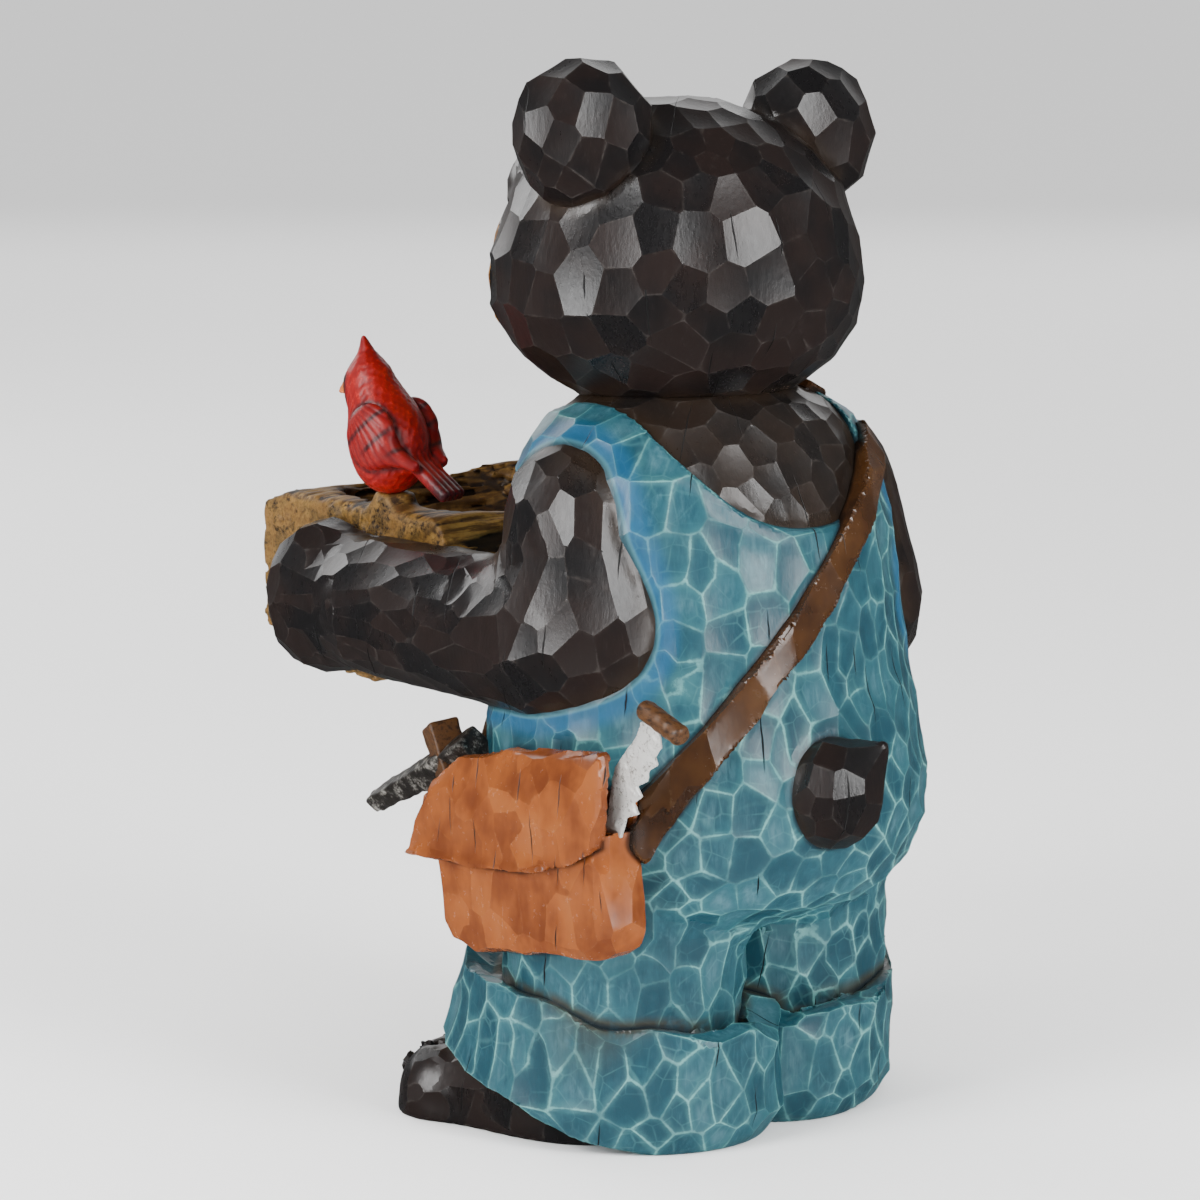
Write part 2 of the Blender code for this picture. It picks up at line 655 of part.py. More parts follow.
def hammer(name, look, grow=0.0):
    """The hammer: a tapered head on a squared handle that stands in the satchel."""
    run = np.array(HAMMER_DIRECTION)
    tip, size = np.array(HAMMER_TIP, float), units(HAMMER_HEAD_SIZE)
    end = tip + run * units(HAMMER_HEAD_LENGTH)
    sizes = [size * k + 2 * grow for k in (0.5, 0.72, 0.92, 1.0, 1.0)]
    head_piece = bar(name, (TOOL_PLANE, *(tip - run * grow)), (TOOL_PLANE, *(end + run * grow)), sizes, look)
    eye = tip + run * units(HAMMER_HEAD_LENGTH) * 0.70
    down = np.array((run[1], -run[0]))
    above = eye - down * (size / 2 + 8 + grow)
    below = eye + down * (units(HAMMER_HANDLE_LENGTH) - size / 2 - 8 + grow)
    wide = units(HAMMER_HANDLE_SIZE) + 2 * grow
    shaft = bar(name + "_shaft", (TOOL_PLANE, *above), (TOOL_PLANE, *below), (wide,) * 2, None)
    boolean(head_piece, shaft, "UNION")
    return head_piece


def oval_cutter(name, grow):
    """The log's smooth envelope as a cutter, with room for the log to sit in it."""
    x, y, z = LOG_MIDDLE
    half = (units(LOG_LENGTH) / 2 + grow, units(LOG_WIDTH) / 2 + grow, units(LOG_HEIGHT) * 0.54 + grow)
    ring = []
    for t in (math.tau * k / 72 for k in range(72)):
        c, w = math.cos(t), math.sin(t)
        size = (abs(c) ** 3 + abs(w) ** 3) ** (-1 / 3)
        ring.append((half[1] * c * size, half[2] * w * size))
    rings = [[(x + side * half[0], y + a, z + b) for a, b in ring] for side in (-1, 1)]
    return loft(name, rings, None)


def main():
    """Clears the scene and builds the five pieces."""
    for old in list(bpy.data.objects):
        bpy.data.objects.remove(old)

    points, quads = polygonise(casting, (-140, -212, -9), (140, 136, 516), 3.4)
    normals = normals_of(points, quads)
    fur, cloth, bag = figure(points)
    layer = np.argmin([fur, cloth, bag], axis=0)
    wide = units(CHIP_WIDTH)
    spacing = np.choose(layer, (wide, wide * 0.88, wide * 1.1))
    weight = np.choose(layer, (1.0, 0.7, 0.3)) * np.clip((points[:, 2] - 2) / 8, 0, 1)
    points = chip(points, normals, layer, spacing, weight, 0.8)
    bear = make_object("bear", points, quads, ((0.035, 0.028, 0.026), 0.35, 0.0))
    simplified(bear, 2.4, 6900, floor=True)

    reach = np.array((units(LOG_LENGTH) / 2, units(LOG_WIDTH) / 2, units(LOG_HEIGHT) * 0.7)) + 9
    log_piece = make_object(
        "log_bowl",
        *polygonise(log, np.array(LOG_MIDDLE) - reach, np.array(LOG_MIDDLE) + reach, 2.8),
        ((0.42, 0.27, 0.11), 0.6, 0.0),
    )
    simplified(log_piece, 2.2, 1700)

    perch, size = np.array(CARDINAL_PERCH), units(CARDINAL_HEIGHT)
    bird = make_object(
        "cardinal",
        *polygonise(cardinal, perch - (0.6 * size, 0.6 * size, 9), perch + (0.6 * size, 0.7 * size, size + 8), 1.5),
        ((0.5, 0.02, 0.02), 0.4, 0.0),
    )
    simplified(bird, 1.2, 800)

    gap = units(FIT_GAP)
    boolean(bear, oval_cutter("log_room", 2 * gap), "DIFFERENCE")
    saw("hand_saw", STEEL)
    hammer("hammer", STEEL)
    boolean(bear, saw("saw_room", None, gap), "DIFFERENCE")
    boolean(bear, hammer("hammer_room", None, gap), "DIFFERENCE")
    room = log_piece.copy()
    room.data = log_piece.data.copy()
    room.name = "perch_room"
    room.hide_render, room.display_type = True, "WIRE"
    bpy.context.scene.collection.objects.link(room)
    for vertex in room.data.vertices:
        vertex.co += vertex.normal * FIT_GAP
    boolean(bird, room, "DIFFERENCE")

    corners = np.array([vertex.co for piece in (bear, log_piece, bird) for vertex in piece.data.vertices])
    middle = (corners.max(axis=0) + corners.min(axis=0)) / 2
    for piece in bpy.data.objects:
        piece.location = (-middle[0], -middle[1], 0)


main()
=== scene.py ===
"""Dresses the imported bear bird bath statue: a chip-carved bear in overalls with a satchel, a log bowl,
a red bird, a hand saw and a hammer.

The forms are set out in drawing units, one to a millimetre, as in the part's own source, and every mesh
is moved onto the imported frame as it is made. The bear faces -Y and its left is +X.
"""

import sys
import logging
import math
from dataclasses import dataclass
from enum import Enum
from functools import cache
from typing import Callable, Union

import bpy
import numpy as np
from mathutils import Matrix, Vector


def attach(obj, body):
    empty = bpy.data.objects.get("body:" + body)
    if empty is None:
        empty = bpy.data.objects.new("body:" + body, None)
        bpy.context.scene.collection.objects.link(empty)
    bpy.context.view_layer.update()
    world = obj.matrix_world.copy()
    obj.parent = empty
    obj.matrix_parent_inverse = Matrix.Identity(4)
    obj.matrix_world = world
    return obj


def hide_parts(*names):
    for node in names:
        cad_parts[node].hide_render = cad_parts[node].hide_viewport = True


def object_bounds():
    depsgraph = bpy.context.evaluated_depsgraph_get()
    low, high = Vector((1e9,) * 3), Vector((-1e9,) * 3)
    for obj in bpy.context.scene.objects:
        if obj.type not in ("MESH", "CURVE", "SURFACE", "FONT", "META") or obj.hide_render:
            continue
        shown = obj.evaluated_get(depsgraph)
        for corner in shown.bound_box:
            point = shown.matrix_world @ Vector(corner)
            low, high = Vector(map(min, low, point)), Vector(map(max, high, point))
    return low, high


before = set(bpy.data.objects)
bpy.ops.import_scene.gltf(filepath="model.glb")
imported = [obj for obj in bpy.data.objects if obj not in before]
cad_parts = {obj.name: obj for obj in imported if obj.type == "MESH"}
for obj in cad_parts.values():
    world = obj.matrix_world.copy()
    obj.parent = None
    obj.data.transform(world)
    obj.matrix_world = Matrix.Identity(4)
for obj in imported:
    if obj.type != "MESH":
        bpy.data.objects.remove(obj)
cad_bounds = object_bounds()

log = logging.getLogger("statue")

Numbers = np.ndarray
Pair = tuple[float, float]
Triple = tuple[float, float, float]
Field = Callable[[Numbers], Numbers]

MILLIMETRE = 0.001
DRAWING_TO_FRAME = np.array((-0.679, 51.454, 0.0))
MOST_TRIANGLES = 150000
SEARCH_LOW, SEARCH_HIGH, SEARCH_STEP = (-150, -250, -16), (150, 150, 520), 8
PERCH: Triple = (80, -130, 289)
OUT_OF_REACH = 1e3


class Side(Enum):
    """A side of the bear, by the sign of X on it."""

    LEFT = 1
    RIGHT = -1


def blend(a: Numbers, b: Numbers, width: float) -> Numbers:
    """Union of two fields with a fillet.

    Args:
        a: distances to the first form.
        b: distances to the second form.
        width: about how wide the fillet is.

    Returns:
        Distances to both forms together.
    """
    h = np.clip(0.5 + 0.5 * (b - a) / width, 0, 1)
    return b + (a - b) * h - width * h * (1 - h)


def carve(a: Numbers, b: Numbers, width: float) -> Numbers:
    """Takes one form out of another.

    Args:
        a: distances to the form that is kept.
        b: distances to the form that is taken away.
        width: about how wide the edge is rounded.

    Returns:
        Distances to what is left.
    """
    return -blend(-a, b, width)


def mirrored(p: Numbers) -> Numbers:
    """The places folded onto the bear's left side, so that one limb is drawn for both."""
    return np.column_stack([np.abs(p[:, 0]), p[:, 1], p[:, 2]])


def smooth(value: Numbers, low: float, high: float) -> Numbers:
    """An even rise from 0 at low to 1 at high."""
    t = np.clip((value - low) / (high - low), 0, 1)
    return t * t * (3 - 2 * t)


def ripple(p: Numbers, length: float, seed: int, waves: int = 9) -> Numbers:
    """Smooth uneven noise made of plane waves.

    Args:
        p: places, one in each row.
        length: about how far apart its swells are.
        seed: which of the possible patterns it is.
        waves: how many waves are added up.

    Returns:
        Values mostly between -1 and 1.
    """
    rng = np.random.default_rng(seed)
    total = np.zeros(len(p))
    for _ in range(waves):
        way = rng.normal(size=3)
        way *= math.tau / (length * rng.uniform(0.7, 1.5) * np.linalg.norm(way))
        total += np.sin(p @ way + rng.uniform(0, math.tau))
    return total / math.sqrt(waves)


@dataclass(frozen=True)
class Ball:
    """An ellipsoid with its axes along X, Y and Z."""

    middle: Triple
    radii: Triple

    def distance(self, p: Numbers) -> Numbers:
        """Distances to it, near enough close to its surface.

        Args:
            p: places, one in each row.

        Returns:
            One distance for each place, below nothing inside.
        """
        radii = np.array(self.radii)
        q = (p - np.array(self.middle)) / radii
        near = np.sqrt((q * q).sum(1)) + 1e-9
        steep = np.sqrt(((q / radii) ** 2).sum(1)) + 1e-9
        return near * (near - 1) / steep


@dataclass(frozen=True)
class Rod:
    """A rod with round ends whose radius changes evenly along it."""

    start: Triple
    end: Triple
    start_radius: float
    end_radius: float

    def distance(self, p: Numbers) -> Numbers:
        """Distances to it.

        Args:
            p: places, one in each row.

        Returns:
            One distance for each place, below nothing inside.
        """
        a, run = np.array(self.start), np.array(self.end) - np.array(self.start)
        t = np.clip(((p - a) @ run) / (run @ run), 0, 1)
        reach = p - a - t[:, None] * run
        radius = self.start_radius + t * (self.end_radius - self.start_radius)
        return np.sqrt((reach * reach).sum(1)) - radius


@dataclass(frozen=True)
class Block:
    """A box with round edges. Its turn holds its own axes as rows."""

    middle: Triple
    half: Triple
    corner: float
    turn: tuple[Triple, Triple, Triple] = ((1, 0, 0), (0, 1, 0), (0, 0, 1))

    def distance(self, p: Numbers) -> Numbers:
        """Distances to it.

        Args:
            p: places, one in each row.

        Returns:
            One distance for each place, below nothing inside.
        """
        corner = min(self.corner, min(self.half) * 0.98)
        q = (p - np.array(self.middle)) @ np.array(self.turn).T
        q = np.abs(q) - (np.array(self.half) - corner)
        outside = np.maximum(q, 0)
        return np.sqrt((outside * outside).sum(1)) + np.minimum(q.max(1), 0) - corner


@dataclass(frozen=True)
class Panel:
    """A flat polygon, given by its corners in order."""

    corners: tuple[Pair, ...]

    def distance(self, flat: Numbers, scale: Pair) -> Numbers:
        """Distances to its edge in the plane.

        Args:
            flat: places in the plane, one in each row.
            scale: what the corners are multiplied by.

        Returns:
            One distance for each place, below nothing inside.
        """
        corners = np.array(self.corners) * np.array(scale)
        best = np.full(len(flat), np.inf)
        inside = np.zeros(len(flat), bool)
        for (ax, ay), (bx, by) in zip(corners, np.roll(corners, -1, axis=0)):
            run = np.array((bx - ax, by - ay))
            reach = flat - (ax, ay)
            t = np.clip((reach @ run) / (run @ run), 0, 1)
            best = np.minimum(best, ((reach - t[:, None] * run) ** 2).sum(1))
            crosses = (ay > flat[:, 1]) != (by > flat[:, 1])
            with np.errstate(divide="ignore", invalid="ignore"):
                meets = (bx - ax) * (flat[:, 1] - ay) / (by - ay) + ax
            inside ^= crosses & (flat[:, 0] < meets)
        return np.sqrt(best) * np.where(inside, -1, 1)


@dataclass(frozen=True)
class Profile:
    """Rows of a height and the values there, with a smooth curve through them."""

    rows: tuple[tuple[float, ...], ...]

    def at(self, heights: Numbers) -> Numbers:
        """The values at some heights.

        Args:
            heights: one height for each place.

        Returns:
            One row of values for each height.
        """
        rows = np.array(self.rows, float)
        knots, values = rows[:, 0], rows[:, 1:]
        slopes = np.gradient(values, knots, axis=0)
        at = np.clip(heights, knots[0], knots[-1])
        k = np.clip(np.searchsorted(knots, at, side="right") - 1, 0, len(knots) - 2)
        span = (knots[k + 1] - knots[k])[:, None]
        t = (at - knots[k])[:, None] / span
        rise = t * t * (3 - 2 * t)
        lean = slopes[k] * (1 - t) - slopes[k + 1] * t
        return values[k] * (1 - rise) + values[k + 1] * rise + span * t * (1 - t) * lean


@dataclass
class Mesh:
    """Points in drawing units, faces, and the values that its paint reads."""

    points: Numbers
    faces: Numbers
    at_points: dict[str, Numbers]
    at_faces: dict[str, Numbers]

    def make(self, name: str, materials: list[bpy.types.Material]) -> bpy.types.Object:
        """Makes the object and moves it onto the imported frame.

        Args:
            name: the object's name.
            materials: its material slots in order.

        Returns:
            The object, in metres, shaded smooth.
        """
        mesh = bpy.data.meshes.new(name)
        placed = (self.points + DRAWING_TO_FRAME) * MILLIMETRE
        mesh.from_pydata(placed.tolist(), [], self.faces.tolist())
        for values, domain in ((self.at_points, "POINT"), (self.at_faces, "FACE")):
            for key, value in values.items():
                if key == "slot":
                    mesh.polygons.foreach_set("material_index", value.astype(np.int32))
                    continue
                flat = value.ndim == 1
                made = mesh.attributes.new(key, "FLOAT" if flat else "FLOAT_VECTOR", domain)
                made.data.foreach_set("value" if flat else "vector", value.astype(np.float32).ravel())
        for material in materials:
            mesh.materials.append(material)
        mesh.shade_smooth()
        piece = bpy.data.objects.new(name, mesh)
        bpy.context.scene.collection.objects.link(piece)
        return piece


@dataclass(frozen=True)
class Sculptor:
    """Turns a field into a mesh by surface nets on a grid that is fine only near the surface."""

    pitch: float
    coarse: int = 4
    band: float = 1.6
    most_at_once: int = 200000

    def values(self, field: Field, grid: Numbers) -> Numbers:
        """The field on the grid, worked out in full only near the surface.

        Args:
            field: gives a distance for each place.
            grid: places, with X, Y, Z in its last axis.

        Returns:
            The field's values on the grid.
        """
        step = self.coarse
        rough = grid[::step, ::step, ::step]
        rough = field(rough.reshape(-1, 3)).reshape(rough.shape[:3])
        nearest = [
            np.minimum((np.arange(n) + step // 2) // step, rough.shape[a] - 1)
            for a, n in enumerate(grid.shape[:3])
        ]
        values = rough[np.ix_(*nearest)].copy()
        close = np.argwhere(np.abs(values) < self.pitch * step * self.band)
        for first in range(0, len(close), self.most_at_once):
            part = tuple(close[first : first + self.most_at_once].T)
            values[part] = field(grid[part])
        return values

    def found(self, field: Field) -> tuple[Numbers, Numbers]:
        """Looks for a form in the whole statue's space and makes its surface.

        Args:
            field: gives a distance for each place.

        Returns:
            Points, and faces with four corners each.
        """
        axes = [np.arange(low, high, SEARCH_STEP, float) for low, high in zip(SEARCH_LOW, SEARCH_HIGH)]
        grid = np.stack(np.meshgrid(*axes, indexing="ij"), axis=-1).reshape(-1, 3)
        near = grid[field(grid) < SEARCH_STEP]
        return self.surface(field, near.min(0) - SEARCH_STEP, near.max(0) + SEARCH_STEP)

    def surface(self, field: Field, low: Numbers, high: Numbers) -> tuple[Numbers, Numbers]:
        """The surface where the field is nothing.

        Args:
            field: gives a distance for each place.
            low: the lowest corner of the space that is searched.
            high: the highest corner.

        Returns:
            Points, and faces with four corners each.
        """
        step = self.coarse
        counts = [int(math.ceil((h - l) / self.pitch / step)) * step + 1 for l, h in zip(low, high)]
        axes = [l + self.pitch * np.arange(n) for l, n in zip(low, counts)]
        grid = np.stack(np.meshgrid(*axes, indexing="ij"), axis=-1)
        values = self.values(field, grid)
        cells = tuple(n - 1 for n in counts)
        total, crossed = np.zeros(cells + (3,)), np.zeros(cells)
        edges = []
        for a in range(3):
            b, c = (a + 1) % 3, (a + 2) % 3
            start, end = [slice(None)] * 3, [slice(None)] * 3
            start[a], end[a] = slice(0, -1), slice(1, None)
            v0, v1 = values[tuple(start)], values[tuple(end)]
            cross = (v0 < 0) != (v1 < 0)
            share = np.where(cross, v0 / np.where(cross, v0 - v1, 1), 0)
            meets = grid[tuple(start)].copy()
            meets[..., a] += share * self.pitch
            meets[~cross] = 0
            for i in (0, 1):
                for j in (0, 1):
                    part = [slice(None)] * 3
                    part[b], part[c] = slice(i, i + cells[b]), slice(j, j + cells[c])
                    total += meets[tuple(part)]
                    crossed += cross[tuple(part)]
            edges.append((b, c, cross, v0 < 0))
        used = crossed > 0
        index = np.full(cells, -1)
        index[used] = np.arange(used.sum())
        points = total[used] / crossed[used][:, None]
        return points, np.concatenate([self.walls(edge, index, cells) for edge in edges])

    def walls(self, edge: tuple, index: Numbers, cells: tuple[int, ...]) -> Numbers:
        """The faces across the grid lines of one direction.

        Args:
            edge: the two other axes, where the surface crosses, and where the field rises.
            index: the number of the point in each cell.
            cells: how many cells there are each way.

        Returns:
            Faces with four corners each, turned outwards.
        """
        b, c, cross, falls = edge
        at = np.argwhere(cross)
        at = at[(at[:, b] > 0) & (at[:, c] > 0) & (at[:, b] < cells[b]) & (at[:, c] < cells[c])]
        corners = []
        for i, j in ((1, 1), (0, 1), (0, 0), (1, 0)):
            cell = at.copy()
            cell[:, b] -= i
            cell[:, c] -= j
            corners.append(index[tuple(cell.T)])
        faces = np.stack(corners, axis=1)
        turned = ~falls[tuple(at.T)]
        faces[turned] = faces[turned][:, ::-1]
        return faces


def normals_of(points: Numbers, quads: Numbers) -> Numbers:
    """Unit normals at the points.

    Args:
        points: places, one in each row.
        quads: faces with four corners each.

    Returns:
        One normal for each point, averaged over the faces around it.
    """
    corner = points[quads]
    area = np.cross(corner[:, 2] - corner[:, 0], corner[:, 3] - corner[:, 1])
    normals = np.zeros_like(points)
    for k in range(4):
        np.add.at(normals, quads[:, k], area)
    return normals / (np.linalg.norm(normals, axis=1, keepdims=True) + 1e-12)


def triangles_of(points: Numbers, quads: Numbers) -> Numbers:
    """Cuts four-sided faces along their shorter diagonals.

    Args:
        points: places, one in each row.
        quads: faces with four corners each.

    Returns:
        Faces with three corners each.
    """
    corner = points[quads]
    first = ((corner[:, 0] - corner[:, 2]) ** 2).sum(1)
    second = ((corner[:, 1] - corner[:, 3]) ** 2).sum(1)
    turned = np.where((first <= second)[:, None], quads, np.roll(quads, -1, axis=1))
    return np.concatenate([turned[:, [0, 1, 2]], turned[:, [0, 2, 3]]])


@dataclass
class Carving:
    """Gouge cuts over a surface: each is a shallow scoop around a seed, and they meet in ridges."""

    points: Numbers
    normals: Numbers
    scores: Numbers
    spacing: Numbers
    weight: Numbers
    scoop: float
    tilt: float
    bite: float = 1.0
    most: float = 3.6
    squash: float = 0.8
    closest: int = 9
    most_seeds: int = 9000
    crowding: Pair = (0.80, 0.45)
    far: float = 20.0
    facing_least: float = 0.25
    facing_floor: float = 0.3
    border_least: float = 0.06
    most_at_once: int = 6000
    lean_pattern: int = 7
    seed_pattern: int = 11
    shade_pattern: int = 5

    def __post_init__(self) -> None:
        """Lays out the seeds and finds which cut each point belongs to."""
        self.zone = self.scores.argmin(1)
        self.metric = self.points * np.array((1, 1, self.squash))
        lean = np.random.default_rng(self.lean_pattern).normal(size=self.points.shape)
        aim = self.normals + self.tilt * lean
        self.aim = aim / np.linalg.norm(aim, axis=1, keepdims=True)
        self.seeds = self.lay_out()
        self.label = -1 - self.zone
        self.own = np.full(len(self.points), self.bite)
        self.ridge = np.full(len(self.points), self.far)
        for zone in np.unique(self.zone):
            self.measure(int(zone))

    def lay_out(self) -> Numbers:
        """Spreads the seeds about evenly over each painted area.

        Returns:
            The numbers of the points that are seeds.
        """
        order = np.random.default_rng(self.seed_pattern).permutation(np.flatnonzero(self.weight > 0))
        seeds: list[int] = []
        for i in order[: self.most_seeds]:
            apart = ((self.metric[seeds] - self.metric[i]) ** 2).sum(1)
            crowding = np.where(self.zone[seeds] == self.zone[i], *self.crowding)
            if (apart > crowding**2 * self.spacing[i] ** 2).all():
                seeds.append(int(i))
        return self.evened(np.array(seeds))

    def evened(self, seeds: Numbers) -> Numbers:
        """Moves each seed to the middle of the points that are nearest to it.

        Args:
            seeds: the numbers of the points that are seeds.

        Returns:
            The numbers of the new seeds.
        """
        owner = np.full(len(self.points), -1)
        for zone in np.unique(self.zone[seeds]):
            own = seeds[self.zone[seeds] == zone]
            mine = np.flatnonzero((self.zone == zone) & (self.weight > 0))
            for first in range(0, len(mine), self.most_at_once):
                part = mine[first : first + self.most_at_once]
                owner[part] = own[self.apart(part, own).argmin(1)]
        held = np.flatnonzero(owner >= 0)
        total, count = np.zeros((len(self.points), 3)), np.zeros(len(self.points))
        np.add.at(total, owner[held], self.metric[held])
        np.add.at(count, owner[held], 1)
        middle = total[owner[held]] / count[owner[held]][:, None]
        off = ((self.metric[held] - middle) ** 2).sum(1)
        order = np.lexsort((off, owner[held]))
        _, first = np.unique(owner[held][order], return_index=True)
        return held[order][first]

    def apart(self, a: Numbers, b: Numbers) -> Numbers:
        """Squared distances between two sets of points, given by number."""
        x, y = self.metric[a], self.metric[b]
        return np.maximum((x * x).sum(1)[:, None] + (y * y).sum(1)[None] - 2 * x @ y.T, 0)

    def height(self, seed: Numbers, at: Numbers) -> Numbers:
        """How far above some points the cuts of some seeds lie.

        Args:
            seed: the number of each seed.
            at: the number of each point, in an array that matches.

        Returns:
            Heights along the points' normals.
        """
        facing = (self.normals[at] * self.aim[seed]).sum(-1)
        rise = ((self.points[seed] - self.points[at]) * self.aim[seed]).sum(-1)
        apart = ((self.metric[seed] - self.metric[at]) ** 2).sum(-1)
        high = np.maximum(rise / np.maximum(facing, self.facing_floor), -self.bite) + self.scoop * apart
        return np.where(facing < self.facing_least, OUT_OF_REACH, high)

    def measure(self, zone: int) -> None:
        """Finds the lowest cut over each point of a painted area, and how far off its ridge is.

        Args:
            zone: the number of the painted area.
        """
        seeds = self.seeds[self.zone[self.seeds] == zone]
        mine = np.flatnonzero(self.zone == zone)
        if not len(seeds):
            return
        count = min(self.closest, len(seeds))
        for first in range(0, len(mine), self.most_at_once):
            part = mine[first : first + self.most_at_once]
            apart = self.apart(part, seeds)
            near = np.argpartition(apart, count - 1, axis=1)[:, :count]
            near_apart = np.take_along_axis(apart, near, axis=1)
            seed = seeds[near]
            high = self.height(seed, np.broadcast_to(part[:, None], seed.shape))
            best = high.argmin(1)
            row = np.arange(len(part))
            low, owner = high[row, best], seed[row, best]
            found = low < OUT_OF_REACH
            self.own[part[found]] = np.minimum(low, self.most)[found]
            self.label[part[found]] = owner[found]
            steep = (low[:, None] + high) / (near_apart[row, best][:, None] + near_apart + 1)
            between = np.sqrt(((self.metric[owner][:, None] - self.metric[seed]) ** 2).sum(-1))
            off = (high - low[:, None]) / (np.maximum(steep, self.scoop) * 2 * np.maximum(between, 1))
            off[row, best] = OUT_OF_REACH
            self.ridge[part] = np.clip(off.min(1), 0, self.far)

    def shares(self, i: Numbers, j: Numbers) -> tuple[Numbers, Numbers]:
        """Where the border between two points of different cuts lies.

        Args:
            i: the numbers of the first points.
            j: the numbers of the second points.

        Returns:
            How far along from the first to the second it lies, and how high the cuts are there.
        """
        li, lj = self.label[i], self.label[j]
        alike = (self.zone[i] == self.zone[j]) & (li >= 0) & (lj >= 0)
        si, sj = np.where(alike, li, 0), np.where(alike, lj, 0)
        across_i, across_j = self.height(sj, i), self.height(si, j)
        rise = np.where(alike, across_i - self.own[i], 1)
        fall = np.where(alike, self.own[j] - across_j, -1)
        other = self.zone[i] != self.zone[j]
        row = np.arange(len(i))
        zi, zj = self.zone[i], self.zone[j]
        rise = np.where(other, self.scores[i][row, zj] - self.scores[i][row, zi], rise)
        fall = np.where(other, self.scores[j][row, zj] - self.scores[j][row, zi], fall)
        share = np.clip(rise / np.maximum(rise - fall, 1e-6), self.border_least, 1 - self.border_least)
        far = np.where(alike, np.minimum(across_j, self.most), self.own[j])
        return share, (1 - share) * self.own[i] + share * far

    def cut(self, triangles: Numbers, values: dict[str, Numbers]) -> Mesh:
        """Cuts the mesh along the ridges and raises it onto the gouge cuts.

        Args:
            triangles: faces with three corners each.
            values: what is known at each point.

        Returns:
            The cut mesh, with the painted area of each of its faces as its slot.
        """
        count = len(self.points)
        a, b = triangles.ravel(), np.roll(triangles, -1, axis=1).ravel()
        low, high = np.minimum(a, b), np.maximum(a, b)
        mixed = self.label[low] != self.label[high]
        unique, inverse = np.unique(low[mixed] * count + high[mixed], return_inverse=True)
        at = np.full(len(a), -1)
        at[mixed] = count + inverse.ravel()
        at = at.reshape(-1, 3)
        i, j = unique // count, unique % count
        share, lifted = self.shares(i, j)
        cuts = (at >= 0).sum(1)
        three = np.flatnonzero(cuts == 3)
        middles = count + len(unique) + np.arange(len(three))

        def spread(value: Numbers, border: Union[Numbers, None] = None) -> Numbers:
            """The value at the old points, at the border points and at the middles."""
            t = share if value.ndim == 1 else share[:, None]
            between = value[i] * (1 - t) + value[j] * t if border is None else border
            corners = between[at[three] - count]
            return np.concatenate([value, between, corners.mean(axis=1)])

        plain = triangles[cuts == 0]
        faces, owners = [plain], [plain[:, 0]]
        two = np.flatnonzero(cuts == 2)
        lone = ((at[two] < 0).argmax(1) + 2) % 3
        va, vb, vc = (triangles[two, (lone + k) % 3] for k in range(3))
        p, q = at[two, lone], at[two, (lone + 2) % 3]
        faces += [np.stack(f, 1) for f in ((va, p, q), (p, vb, vc), (p, vc, q))]
        owners += [va, vb, vb]
        (va, vb, vc), (p, q, r) = triangles[three].T, at[three].T
        o = middles
        rims = ((va, p, o), (va, o, r), (vb, q, o), (vb, o, p), (vc, r, o), (vc, o, q))
        faces += [np.stack(f, 1) for f in rims]
        owners += [va, va, vb, vb, vc, vc]
        owner = np.concatenate(owners)

        lift = spread(self.own, lifted) - self.bite
        moved = spread(self.points) + spread(self.normals) * (lift * spread(self.weight))[:, None]
        same = self.zone[i] == self.zone[j]
        between = self.ridge[i] * (1 - share) + self.ridge[j] * share
        at_points = {key: spread(value) for key, value in values.items()}
        at_points["ridge"] = spread(self.ridge, np.where(same, 0.0, between))
        cell = np.random.default_rng(self.shade_pattern).random(count)[np.maximum(self.label[owner], 0)]
        return Mesh(moved, np.concatenate(faces), at_points, {"cell": cell, "slot": self.zone[owner]})


